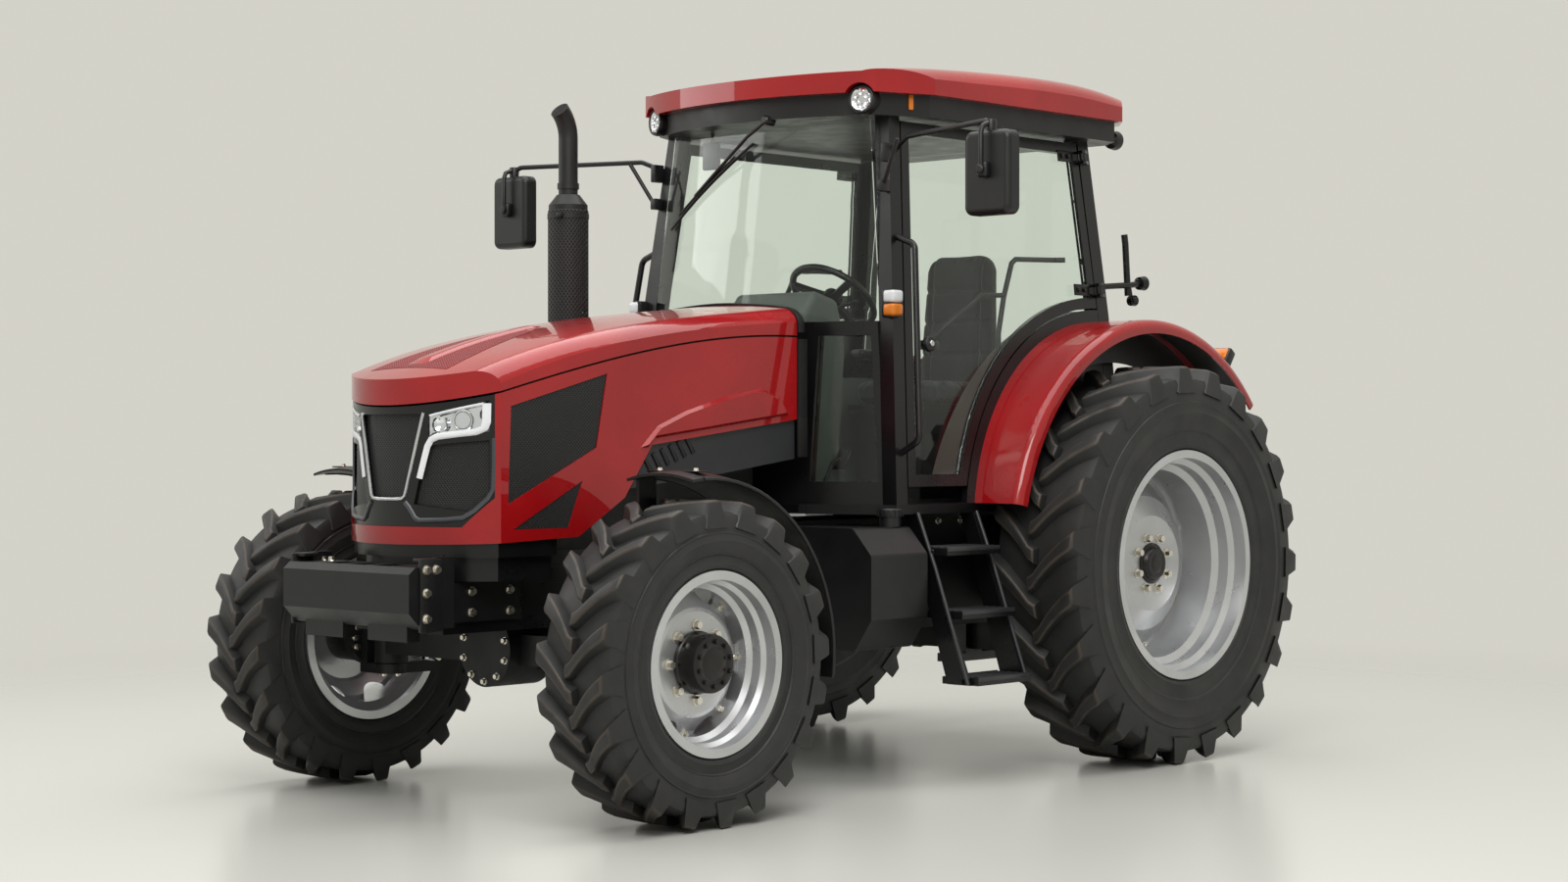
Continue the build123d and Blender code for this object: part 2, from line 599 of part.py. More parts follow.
with BuildPart() as hood_shell:
    add(hood_plan(0, 900, 1100))
    add(hood_plan(HOOD_T, 800, 1300), mode=Mode.SUBTRACT)
    add(seam_body(0, 900), mode=Mode.INTERSECT)
    with BuildSketch(Plane.YZ):
        Polygon(*[(bonnet(share), z) for share, z in SHELL_LOW], (bonnet(0), 2300), (bonnet(1.028), 2300))
    extrude(amount=600, both=True, mode=Mode.INTERSECT)
    with BuildSketch(Plane.YZ):
        Polygon(*[(bonnet(share), z) for share, z in SIDE_MESH])
        Polygon(*[(bonnet(share), z) for share, z in LOW_MESH])
    extrude(amount=600, both=True, mode=Mode.SUBTRACT)
    with BuildSketch(across(HOOD_CORNER - 60)):
        Polygon(*MASK)
    extrude(amount=400, mode=Mode.SUBTRACT)
    with BuildSketch(side_panel):
        Polygon(*[(bonnet(share), z) for share, z in SWAGE])
    extrude(amount=SWAGE_OUT, taper=40)
    mirror(about=Plane.YZ)
    add(seam_body(0, 900), mode=Mode.INTERSECT)
save(hood_shell, "hood_shell")

MASK_INSET = 10
MASK_T = 40
GRILLE = [(-178, 1530), (-95, 1215), (95, 1215), (178, 1530)]
LAMP = [(205, 1440), (205, 1530), (405, 1580), (405, 1462)]
CHEEK = [(195, 1410), (405, 1432), (405, 1240), (340, 1165), (140, 1190)]
with BuildPart() as nose_mask:
    add(hood_plan(MASK_INSET, 1000, 700))
    add(hood_plan(MASK_INSET + MASK_T, 900, 900), mode=Mode.SUBTRACT)
    add(seam_body(-2, 900), mode=Mode.INTERSECT)
    with BuildSketch(across(HOOD_CORNER - 50)):
        Polygon(*MASK)
        offset(amount=-PANE_GAP, mode=Mode.REPLACE)
    extrude(amount=400, mode=Mode.INTERSECT)
    with BuildSketch(across(HOOD_CORNER - 100)):
        Polygon(*GRILLE)
        for side in (1, -1):
            Polygon(*[(side * x, z) for x, z in LAMP])
            Polygon(*[(side * x, z) for x, z in CHEEK])
    extrude(amount=400, mode=Mode.SUBTRACT)
save(nose_mask, "nose_mask")

MESH_T = 8
with BuildPart() as grille_mesh:
    add(hood_plan(MASK_INSET + 16, 1000, 700))
    add(hood_plan(MASK_INSET + 16 + MESH_T, 900, 900), mode=Mode.SUBTRACT)
    with BuildSketch(across(HOOD_CORNER - 100)):
        Polygon(*GRILLE)
        for side in (1, -1):
            Polygon(*[(side * x, z) for x, z in CHEEK])
        offset(amount=-PANE_GAP, mode=Mode.REPLACE)
    extrude(amount=400, mode=Mode.INTERSECT)
with BuildPart() as side_mesh:
    add(hood_plan(4, 1000, 900))
    add(hood_plan(4 + MESH_T, 900, 1100), mode=Mode.SUBTRACT)
    with BuildSketch(Plane.YZ):
        Polygon(*[(bonnet(share), z) for share, z in SIDE_MESH])
        Polygon(*[(bonnet(share), z) for share, z in LOW_MESH])
        offset(amount=-PANE_GAP, mode=Mode.REPLACE)
    extrude(amount=600, both=True, mode=Mode.INTERSECT)
with BuildPart() as mesh_panels:
    add(grille_mesh.part)
    add(side_mesh.part)
save(mesh_panels, "mesh_panels")

with BuildPart() as headlamps:
    add(hood_plan(MASK_INSET - 4, 1000, 700))
    add(hood_plan(MASK_INSET + MASK_T, 900, 900), mode=Mode.SUBTRACT)
    with BuildSketch(across(HOOD_CORNER - 100)):
        for side in (1, -1):
            Polygon(*[(side * x, z) for x, z in LAMP])
        offset(amount=-PANE_GAP, mode=Mode.REPLACE)
    extrude(amount=400, mode=Mode.INTERSECT)
save(headlamps, "headlamps")

with BuildPart() as engine_panels:
    add(hood_plan(HOOD_T, 1100, 600))
    add(hood_plan(HOOD_T + 22, 1000, 800), mode=Mode.SUBTRACT)
    with BuildSketch(Plane.YZ):
        Polygon(
            (bonnet(0.475), 1450), (bonnet(0), 1556), (bonnet(0), 1352), (bonnet(0.232), 1295),
            (bonnet(0.525), 1240),
        )
    extrude(amount=600, both=True, mode=Mode.INTERSECT)
save(engine_panels, "engine_panels")

# Exhaust: a pipe from the engine's right side, an upright silencer and a tip bent forward

STACK_X = -585
STACK_AHEAD = HOOD_REAR + 327
SILENCER_R = 85
PIPE_R = 42
with BuildPart() as exhaust_stack:
    with BuildSketch(Plane(origin=(STACK_X, ahead(STACK_AHEAD), 0), x_dir=(1, 0, 0), z_dir=(0, -1, 0))):
        Polygon(
            (0, 1180), (PIPE_R, 1180), (PIPE_R, 1780), (SILENCER_R, 1830), (SILENCER_R, 2450),
            (PIPE_R + 8, 2495), (0, 2495),
        )
    revolve(axis=Axis((STACK_X, ahead(STACK_AHEAD), 0), (0, 0, 1)))
    with Locations(((STACK_X - RAIL_IN) / 2, ahead(STACK_AHEAD), 1222)):
        Cylinder(PIPE_R - 4, -STACK_X - RAIL_IN, rotation=(0, 90, 0))
    with BuildLine() as tip:
        Line((STACK_X, ahead(STACK_AHEAD), 2480), (STACK_X, ahead(STACK_AHEAD), 2740))
        TangentArc(
            (STACK_X, ahead(STACK_AHEAD), 2740), (STACK_X, ahead(STACK_AHEAD + 50), 2860), tangent=(0, 0, 1)
        )
    with BuildSketch(Plane.XY.offset(2480)):
        with Locations((STACK_X, ahead(STACK_AHEAD))):
            Circle(PIPE_R)
    sweep(path=tip.line)
save(exhaust_stack, "exhaust_stack")

# Cab floor, firewall, rear wall and wheel-house walls

FLOOR_T = 40
POST_FRONT_LOW = SCREEN_SIDE + 36
POST_FRONT_TOP = POST_FRONT_LOW - 158
POST_W = 70
REAR_POST = [(-95, SILL_Z), (-95, 2000), (-47, HEAD_Z), (-125, HEAD_Z), (-175, 2000), (-175, SILL_Z)]
WALL_HALF = inner_half(SILL_Z)

with BuildPart() as cab_floor:
    with BuildSketch(Plane.XY.offset(SILL_Z - FLOOR_T)):
        Polygon(
            (838, ahead(-175)), (838, ahead(POST_FRONT_LOW)), (420, ahead(SCREEN_MID - 10)),
            (-420, ahead(SCREEN_MID - 10)), (-838, ahead(POST_FRONT_LOW)), (-838, ahead(-175)),
        )
    extrude(amount=FLOOR_T)
save(cab_floor, "cab_floor")


def screen_shell(depth, thickness):
    """Curved upright shell of the cab's front, this deep behind its outside, leaning back with the screen."""
    lean = radians(SCREEN_LEAN)
    with BuildPart() as shell:
        with BuildSketch(Plane.XY.offset(SILL_Z)):
            with BuildLine():
                near = depth + thickness
                side = SCREEN_HALF + 40
                slope = (SCREEN_MID - SCREEN_SIDE) / SCREEN_HALF ** 2
                drop = SCREEN_MID - slope * side ** 2
                out_y = ahead(drop - depth)
                in_y = ahead(drop - near)
                ThreePointArc((-side, out_y), (0, ahead(SCREEN_MID - depth)), (side, out_y))
                Line((side, out_y), (side, in_y))
                ThreePointArc((side, in_y), (0, ahead(SCREEN_MID - near)), (-side, in_y))
                Line((-side, in_y), (-side, out_y))
            make_face()
        extrude(amount=(HEAD_Z - SILL_Z) / cos(lean), dir=(0, sin(lean), cos(lean)))
    return shell.part


def between_posts(low, high, gap):
    """Outline, in x and z, of the space between the posts from one height to another."""
    return [
        (-inner_half(low) + gap, low), (inner_half(low) - gap, low),
        (inner_half(high) - gap, high), (-inner_half(high) + gap, high),
    ]


PANE_LOW = 1255
PANE_HIGH = WAIST_Z - 30
SCREEN_LOW = WAIST_Z + 30
LOWER_PANE = [
    (430, PANE_LOW), (inner_half(PANE_LOW) - 30, PANE_LOW), (inner_half(PANE_HIGH) - 30, PANE_HIGH),
    (430, PANE_HIGH),
]
FIREWALL_T = 40
with BuildPart() as firewall:
    add(screen_shell(0, FIREWALL_T))
    with BuildSketch(across(0)):
        Polygon(*between_posts(SILL_Z, SCREEN_LOW, 0))
    extrude(amount=2500, mode=Mode.INTERSECT)
    with BuildSketch(across(0)):
        Polygon(*LOWER_PANE)
        mirror(about=Plane.YZ)
    extrude(amount=2500, mode=Mode.SUBTRACT)
    bracket_x = LID_EAR_X + LID_EAR_T + 4
    for side in (1, -1):
        with Locations((side * (bracket_x + 12), ahead(LID_PIN_AHEAD - 62), LID_PIN_Z)):
            Box(24, 160, 50)
        with Locations((side * (LID_EAR_X + 20), ahead(LID_PIN_AHEAD), LID_PIN_Z)):
            Cylinder(LID_PIN_R, 50, rotation=(0, 90, 0))
save(firewall, "firewall")

REAR_WALL_TOP = 1820
with BuildPart() as rear_wall:
    with BuildSketch(across(-155)):
        Polygon(*between_posts(SILL_Z, REAR_WALL_TOP, 0))
    extrude(amount=40)
save(rear_wall, "rear_wall")


def side_arc(radius, low, back):
    """Points of the arc round the rear wheel on the cab's side: at a low height, midway and at its rear."""
    first = asin((low - WING_Z) / radius)
    last = radians(180) - atan2(sqrt(radius ** 2 - (back - WING_AHEAD) ** 2), back - WING_AHEAD)
    last = radians(180) - last
    angles = (first, (first + last) / 2, last)
    return [on_side(WING_AHEAD + radius * cos(a), WING_Z + radius * sin(a)) for a in angles]


WALL_T = 30
with BuildPart() as wheel_house_walls:
    with BuildSketch(side_plane(0)):
        with BuildLine():
            low, mid, high = side_arc(DOOR_ARC_R - DOOR_GAP, SILL_Z - 20, -92)
            ThreePointArc(low, mid, high)
            Polyline(high, on_side(-92, SILL_Z - 20), low)
        make_face()
    extrude(amount=-WALL_T)
    with BuildSketch(Plane.XY.offset(SILL_Z)):
        with Locations((0, ahead(0))):
            Rectangle(3000, 5000)
    extrude(amount=2000, mode=Mode.INTERSECT)
    mirror(about=Plane.YZ)
save(wheel_house_walls, "wheel_house_walls")

# Posts and headliner

HINGE_OUT = 24              # hinge axis outside the cab's side
HINGE_PIN_R = 8
HINGE_EYE_R = 16
HINGE_EYE_H = 30
HINGE_LOW = (-91, 2000)     # two points of the hinge axis: ahead of the rear axle, height
HINGE_HIGH = (-43, 2800)
HINGE_Z = (2110, 2720)


def hinge_plane(z):
    """Plane across the door's hinge axis near this height: x forward along the door, y outward."""
    lean = radians(CAB_LEAN)
    out = Vector(cos(lean), 0, sin(lean)) * HINGE_OUT
    low = Vector(CAB_SIDE_X - tan(lean) * (HINGE_LOW[1] - SILL_Z), ahead(HINGE_LOW[0]), HINGE_LOW[1]) + out
    high = Vector(CAB_SIDE_X - tan(lean) * (HINGE_HIGH[1] - SILL_Z), ahead(HINGE_HIGH[0]), HINGE_HIGH[1]) + out
    along = (high - low).normalized()
    forward = Vector(cos(lean), 0, sin(lean)).cross(along)
    part_way = (z - HINGE_LOW[1]) / (HINGE_HIGH[1] - HINGE_LOW[1])
    return Plane(origin=low + (high - low) * part_way, x_dir=forward, z_dir=along)


with BuildPart() as cab_posts:
    with BuildSketch(side_plane()):
        rise = (POST_FRONT_LOW - POST_FRONT_TOP) / (HEAD_Z - SILL_Z)
        front_low = POST_FRONT_LOW + rise * 60
        front_top = POST_FRONT_TOP - rise * 60
        Polygon(
            on_side(front_low, SILL_Z - 60), on_side(front_low - POST_W, SILL_Z - 60),
            on_side(front_top - POST_W, HEAD_Z + 60), on_side(front_top, HEAD_Z + 60),
        )
        Polygon(*[on_side(d, z - 60 if z == SILL_Z else z + 60 if z == HEAD_Z else z) for d, z in REAR_POST])
    extrude(amount=-POST_DEPTH)
    with BuildSketch(Plane.XY.offset(SILL_Z)):
        with Locations((0, ahead(0))):
            Rectangle(3000, 6000)
    extrude(amount=HEAD_Z - SILL_Z, mode=Mode.INTERSECT)
    for z in HINGE_Z:
        for start in (HINGE_EYE_H / 2 + 3, -HINGE_EYE_H / 2 - 3 - 14):
            with BuildSketch(hinge_plane(z).offset(start)):
                Polygon((-56, -30), (-8, -30), (-8, -14), (12, -14), (12, 12), (-10, 12), (-56, -10))
            extrude(amount=14)
        with BuildSketch(hinge_plane(z).offset(-HINGE_EYE_H / 2 - 12)):
            Circle(HINGE_PIN_R)
        extrude(amount=HINGE_EYE_H + 24)
    mirror(about=Plane.YZ)
save(cab_posts, "cab_posts")

ROOF_Z = HEAD_Z + HEADLINER_T
ROOF_HALF = 800
ROOF_CORNER = (690, SCREEN_SIDE - 5)        # front corner: half width, ahead of the rear axle
ROOF_NOSE = SCREEN_MID - 25
ROOF_TAIL = -350
ROOF_SECTIONS = [           # ahead of the rear axle, half width, height of the edge and of the crown
    (SCREEN_MID + 110, 770, 2915, 2945), (SCREEN_MID - 290, 790, 2950, 3012), (700, 802, 2965, 3052),
    (0, 802, 2965, 3060), (-400, 790, 2945, 3005),
]
POD_R = 62
POD_TURN = 18               # degrees outward of the front work lamps
POD_AT = (615, SCREEN_SIDE - 5, 2862)       # face of the lamp: half width, ahead of the rear axle, height


def roof_plan(inset, z, height):
    """Solid of the roof's plan: bowed front, straight sides and cut rear corners."""
    half = ROOF_HALF - inset
    corner = (ROOF_CORNER[0] - inset, ahead(ROOF_CORNER[1] - inset))
    tail = ahead(ROOF_TAIL + inset)
    with BuildPart() as body:
        with BuildSketch(Plane.XY.offset(z)):
            with BuildLine():
                ThreePointArc((-corner[0], corner[1]), (0, ahead(ROOF_NOSE - inset)), corner)
                Polyline(
                    corner, (half, ahead(SCREEN_SIDE - 280)), (half, ahead(-210)), (half - 120, tail),
                    (-half + 120, tail), (-half, ahead(-210)), (-half, ahead(SCREEN_SIDE - 280)),
                    (-corner[0], corner[1]),
                )
            make_face()
        extrude(amount=height)
    return body.part


def pod_plane(side):
    """Face of a front work lamp, looking forward and a little outward."""
    turn = radians(POD_TURN)
    return Plane(
        origin=(side * POD_AT[0], ahead(POD_AT[1]), POD_AT[2]),
        x_dir=(cos(turn), side * sin(turn), 0),
        z_dir=(side * sin(turn), -cos(turn), 0),
    )


with BuildPart() as headliner:
    add(roof_plan(45, HEAD_Z, HEADLINER_T))
    for side in (1, -1):
        with BuildSketch(pod_plane(side)):
            Circle(POD_R)
        extrude(amount=-160)
save(headliner, "headliner")

# Roof: a crowned cap with a visor over the windscreen, notched over the front work lamps


def roof_section(distance, half, edge, crown):
    with BuildSketch(across(distance)) as face:
        with BuildLine():
            top = (half - 150, crown - 18)
            Polyline((-half, edge), (-half, 2700), (half, 2700), (half, edge))
            ThreePointArc((half, edge), (half - 45, edge + 0.72 * (top[1] - edge)), top)
            ThreePointArc(top, (0, crown), (-top[0], top[1]))
            ThreePointArc((-half, edge), (-half + 45, edge + 0.72 * (top[1] - edge)), (-top[0], top[1]))
        make_face()
    return face.sketch.face()


with BuildPart() as cab_roof:
    loft([roof_section(*section) for section in ROOF_SECTIONS])
    add(roof_plan(0, ROOF_Z, 400), mode=Mode.INTERSECT)
    for side in (1, -1):
        with BuildSketch(pod_plane(side).offset(200)):
            Circle(POD_R + 6)
        extrude(amount=-380, mode=Mode.SUBTRACT)
save(cab_roof, "cab_roof")

# Glass: windscreen, two lower front panes and the rear window

PANE_DEPTH = 16
with BuildPart() as front_glass:
    add(screen_shell(PANE_DEPTH, GLASS_T))
    with BuildSketch(across(0)):
        Polygon(*between_posts(SCREEN_LOW + PANE_GAP, HEAD_Z - 5, PANE_GAP))
        Polygon(*LOWER_PANE)
        mirror(about=Plane.YZ)
    extrude(amount=2500, mode=Mode.INTERSECT)
with BuildPart() as cab_glass:
    add(front_glass.part)
    with BuildSketch(across(-118)):
        Polygon(*between_posts(REAR_WALL_TOP + PANE_GAP, HEAD_Z - PANE_GAP, PANE_GAP))
    extrude(amount=GLASS_T)
save(cab_glass, "cab_glass")

# Doors: a frame in the plane of the cab's side, hinged at the rear post, with its pane


def door_outline(inset, depth):
    rise = (POST_FRONT_LOW - POST_FRONT_TOP) / (HEAD_Z - SILL_Z)
    front_low = POST_FRONT_LOW - POST_W - rise * (DOOR_SILL_Z - SILL_Z)
    front_top = POST_FRONT_LOW - POST_W - rise * (DOOR_HEAD_Z - SILL_Z)
    with BuildSketch(side_plane(depth)) as face:
        with BuildLine():
            low, mid, high = side_arc(DOOR_ARC_R, DOOR_SILL_Z, -95 + DOOR_GAP)
            ThreePointArc(low, mid, high)
            Polyline(
                high, on_side(-47 + DOOR_GAP, DOOR_HEAD_Z), on_side(front_top - DOOR_GAP, DOOR_HEAD_Z),
                on_side(front_low - DOOR_GAP, DOOR_SILL_Z), low,
            )
        make_face()
        if inset:
            offset(amount=-inset, kind=Kind.INTERSECTION, mode=Mode.REPLACE)
    return face.sketch


with BuildPart() as door_left:
    extrude(door_outline(0, 0), amount=-DOOR_T)
    extrude(door_outline(DOOR_FRAME_W, 0), amount=-DOOR_T, mode=Mode.SUBTRACT)
    for z in HINGE_Z:
        with BuildSketch(hinge_plane(z).offset(-HINGE_EYE_H / 2)):
            Circle(HINGE_EYE_R)
            Polygon((0, -16), (14, -26), (52, -26), (52, -18), (18, -10), (10, 0))
            Circle(HINGE_PIN_R + FIT_GAP, mode=Mode.SUBTRACT)
        extrude(amount=HINGE_EYE_H)
save(door_left, "door_left")
with BuildPart() as door_right:
    mirror(door_left.part, about=Plane.YZ)
save(door_right, "door_right")

with BuildPart() as door_glass_left:
    extrude(door_outline(DOOR_FRAME_W + PANE_GAP, 14), amount=-GLASS_T)
save(door_glass_left, "door_glass_left")
with BuildPart() as door_glass_right:
    mirror(door_glass_left.part, about=Plane.YZ)
save(door_glass_right, "door_glass_right")

# Rear wings: an arc of sheet round the top of each rear tyre, from the cab's side out to a rolled lip

WING_FIRST = asin((SILL_Z - WING_Z) / WING_R)
WING_LAST = radians(139)
LIP_H = 62
LIP_R = 42
lean_slope = tan(radians(CAB_LEAN))

wing_first = Plane(
    origin=(0, ahead(WING_AHEAD), WING_Z), x_dir=(1, 0, 0), z_dir=(0, -sin(WING_FIRST), -cos(WING_FIRST))
)
wing_axis = Axis((0, ahead(WING_AHEAD), WING_Z), (-1, 0, 0))
wing_turn = degrees(WING_LAST - WING_FIRST)
with BuildPart() as rear_wings:
    with BuildSketch(wing_first):
        with BuildLine():
            roll = WING_OUT_X - LIP_R
            inner_r = WING_R - WING_T
            inner_x = WING_OUT_X - WING_T
            Line((600, WING_R), (roll, WING_R))
            TangentArc((roll, WING_R), (WING_OUT_X, WING_R - LIP_R), tangent=(1, 0))
            Polyline(
                (WING_OUT_X, WING_R - LIP_R), (WING_OUT_X, WING_R - LIP_H), (inner_x, WING_R - LIP_H),
                (inner_x, WING_R - LIP_R),
            )
            TangentArc((inner_x, WING_R - LIP_R), (roll, inner_r), tangent=(0, 1))
            Polyline((roll, inner_r), (600, inner_r), (600, WING_R))
        make_face()
    revolve(axis=wing_axis, revolution_arc=wing_turn)
    with BuildSketch(across(1500)):
        Polygon(
            (0, 800), (CAB_SIDE_X + lean_slope * 360, 800), (CAB_SIDE_X - lean_slope * 1640, 2800), (0, 2800)
        )
    extrude(amount=-3000, mode=Mode.SUBTRACT)
    mirror(about=Plane.YZ)
save(rear_wings, "rear_wings")

# Steps, fuel tank and battery box below the cab

STEP_FRONT = 1300
STEP_BACK = 925
STEP_T = 30
STEP_LOW = 420
STEP_Z = [STEP_LOW, 690, 950]
step_slope = 0.31


def step_x(z):
    """Middle of the ladder at this height."""
    return 830 + step_slope * (SILL_Z - z)


with BuildPart() as cab_steps:
    for distance in (STEP_FRONT, STEP_BACK + 14):
        with BuildSketch(across(distance - 14)):
            Polygon(
                (step_x(SILL_Z - FLOOR_T) - 70, SILL_Z - FLOOR_T), (step_x(SILL_Z - FLOOR_T), SILL_Z - FLOOR_T),
                (step_x(STEP_LOW) + 60, STEP_LOW), (step_x(STEP_LOW) - 60, STEP_LOW),
            )
        extrude(amount=14)
    for z in STEP_Z:
        with Locations((step_x(z), (ahead(STEP_FRONT) + ahead(STEP_BACK)) / 2, z + STEP_T / 2)):
            Box(190, STEP_FRONT - STEP_BACK - 20, STEP_T)
    mirror(about=Plane.YZ)
save(cab_steps, "cab_steps")

TANK_LOW = 570
TANK_TOP = 1070
with BuildPart() as side_tanks:
    with BuildSketch(across(1345)):
        Polygon(
            (440, TANK_TOP), (830, TANK_TOP), (930, TANK_TOP - 110), (930, TANK_LOW + 130), (840, TANK_LOW),
            (440, TANK_LOW),
        )
    extrude(amount=355)
    fillet(side_tanks.edges().filter_by(Axis.Y), 24)
    with Locations((335, ahead(1500), 850)):
        Box(210, 200, 160)
    mirror(about=Plane.YZ)
    with Locations((790, ahead(1420), TANK_TOP + 25)):
        Cylinder(45, 50)
save(side_tanks, "side_tanks")

# Mirrors on bent tube arms, grab handles on the front posts


def post_front(z):
    """Front edge of the front post at this height."""
    return POST_FRONT_LOW - (POST_FRONT_LOW - POST_FRONT_TOP) * (z - SILL_Z) / (HEAD_Z - SILL_Z)


def side_x(z):
    return CAB_SIDE_X - lean_slope * (z - SILL_Z)


MIRROR_X = 1420
MIRROR_AHEAD = 1542
MIRROR_Z = 2490
MIRROR_W = 230
MIRROR_H = 335
arm_z = 2640
MIRROR_T = 70
with BuildPart() as mirrors:
    with Locations((MIRROR_X, ahead(MIRROR_AHEAD), MIRROR_Z)):
        Box(MIRROR_W, MIRROR_T, MIRROR_H)
    fillet(mirrors.edges().filter_by(Axis.Y), 34)
    fillet(mirrors.faces().sort_by(Axis.Y)[0].edges(), 24)
    with BuildLine() as arm:
        FilletPolyline(
            (side_x(arm_z) - 20, ahead(post_front(arm_z) - 35), arm_z),
            (side_x(arm_z) + 120, ahead(post_front(arm_z) + 20), arm_z + 60),
            (MIRROR_X, ahead(MIRROR_AHEAD), arm_z + 60),
            (MIRROR_X, ahead(MIRROR_AHEAD), MIRROR_Z + 100),
            radius=45,
        )
    with BuildSketch(Plane(arm.line @ 0, z_dir=arm.line % 0)):
        Circle(11)
    sweep(path=arm.line)
    add(cab_posts.part, mode=Mode.SUBTRACT)
    mirror(about=Plane.YZ)
save(mirrors, "mirrors")

GRAB_TOP = 2290
GRAB_LOW = 1370
GRAB_OUT = 100
with BuildPart() as grab_handles:
    with BuildLine() as bar:
        FilletPolyline(
            (side_x(GRAB_TOP) - 10, ahead(post_front(GRAB_TOP) - 35), GRAB_TOP),
            (side_x(GRAB_TOP) + GRAB_OUT, ahead(post_front(GRAB_TOP) - 35), GRAB_TOP - 40),
            (side_x(GRAB_LOW) + GRAB_OUT, ahead(post_front(GRAB_LOW) - 35), GRAB_LOW + 60),
            (side_x(GRAB_LOW) - 10, ahead(post_front(GRAB_LOW) - 35), GRAB_LOW),
            radius=40,
        )
    with BuildSketch(Plane(bar.line @ 0, z_dir=bar.line % 0)):
        Circle(14)
    sweep(path=bar.line)
    add(cab_posts.part, mode=Mode.SUBTRACT)
    mirror(about=Plane.YZ)
save(grab_handles, "grab_handles")

# Lamps: work lamps under the roof, turn signals on the posts, tail lamps on the wings

with BuildPart() as cab_lamps:
    with Locations((610, ahead(ROOF_TAIL + 5), ROOF_Z - 40)):
        Box(130, 80, 80)
    with BuildSketch(pod_plane(1)):
        Circle(POD_R - 10)
    extrude(amount=16)
    with Locations((side_x(2000) - 30, ahead(post_front(2000) + 20), 2000)):
        Box(70, 80, 125)
    add(cab_posts.part, mode=Mode.SUBTRACT)
    tail = radians(126)
    with BuildSketch(
        Plane(origin=(960, ahead(WING_AHEAD + WING_R * cos(tail)), WING_Z + WING_R * sin(tail)),
              x_dir=(1, 0, 0), z_dir=(0, -cos(tail), sin(tail)))
    ):
        Rectangle(150, 70)
    extrude(amount=100)
    with BuildSketch(wing_first):
        with Locations((WING_OUT_X - 150, (WING_R + 10) / 2)):
            Rectangle(300, WING_R - 10)
    revolve(axis=wing_axis, revolution_arc=wing_turn, mode=Mode.SUBTRACT)
    mirror(about=Plane.YZ)
save(cab_lamps, "cab_lamps")

# Inside the cab: dash with column, side console, seat and steering wheel

DASH_BACK = SCREEN_MID - 510
RING_R = 200
RING_TUBE = 15
WHEEL_AHEAD = DASH_BACK - 190
WHEEL_Z = 2070
WHEEL_TILT = 40             # of the steering wheel's axis, from upright toward the seat
COLUMN_R = 36
COLUMN_TOP = 50             # below the steering wheel's middle
SHAFT_R = 12
tilt = radians(WHEEL_TILT)
hub = Plane(origin=(0, ahead(WHEEL_AHEAD), WHEEL_Z), x_dir=(1, 0, 0), z_dir=(0, sin(tilt), cos(tilt)))
with BuildPart() as cab_consoles:
    with BuildSketch(Plane.YZ):
        Polygon(
            (ahead(DASH_BACK + 250), SILL_Z), (ahead(DASH_BACK + 60), SILL_Z), (ahead(DASH_BACK), 1900),
            (ahead(DASH_BACK + 40), 2040), (ahead(DASH_BACK + 190), 2080), (ahead(DASH_BACK + 300), 1930),
        )
    extrude(amount=240, both=True)
    fillet(cab_consoles.edges().filter_by(Axis.X).sort_by(Axis.Z)[-3:], 40)
    for ends in (cab_consoles.edges().group_by(Axis.X)[-1], cab_consoles.edges().group_by(Axis.X)[0]):
        fillet(ends.filter_by(lambda edge: edge.center().Z > 1700), 30)
    with BuildSketch(hub.offset(-COLUMN_TOP)):
        Circle(COLUMN_R)
    extrude(amount=-330)
    with BuildSketch(hub.offset(-COLUMN_TOP)):
        Circle(SHAFT_R + FIT_GAP)
    extrude(amount=-100, mode=Mode.SUBTRACT)
    with Locations((-430, ahead(330), (SILL_Z + 1720) / 2)):
        Box(240, 720, 1720 - SILL_Z)
save(cab_consoles, "cab_consoles")

SEAT_AHEAD = 300
PAD_Z = 1590
with BuildPart() as seat_base:
    with Locations((0, ahead(SEAT_AHEAD), (SILL_Z + 1560) / 2)):
        Box(380, 420, 1560 - SILL_Z)
    with Locations((0, ahead(SEAT_AHEAD - 20), 1575)):
        Box(460, 500, 30)
save(seat_base, "seat_base")

with BuildPart() as seat_pads:
    with Locations((0, ahead(SEAT_AHEAD), PAD_Z + 55)):
        Box(500, 480, 110)
    with BuildSketch(Plane.YZ):
        Polygon((ahead(55), PAD_Z), (ahead(-30), PAD_Z), (ahead(-75), 2310), (ahead(10), 2310))
    extrude(amount=240, both=True)
save(seat_pads, "seat_pads")

with BuildPart() as steering_wheel:
    with BuildSketch(Plane(origin=hub.origin, x_dir=hub.x_dir, z_dir=hub.y_dir)):
        with Locations((RING_R, 0)):
            Circle(RING_TUBE)
    revolve(axis=Axis(hub.origin, hub.z_dir))
    with BuildSketch(hub.offset(-16)):
        Circle(45)
        for angle in (90, 210, 330):
            with Locations((RING_R / 2 * cos(radians(angle)), RING_R / 2 * sin(radians(angle)))):
                Rectangle(RING_R, 34, rotation=angle)
    extrude(amount=20)
    with BuildSketch(hub.offset(-16)):
        Circle(SHAFT_R)
    extrude(amount=-COLUMN_TOP - 60)
save(steering_wheel, "steering_wheel")

# Hitch: lower links, lift arms on the rock shaft, lift rods, top link and drawbar

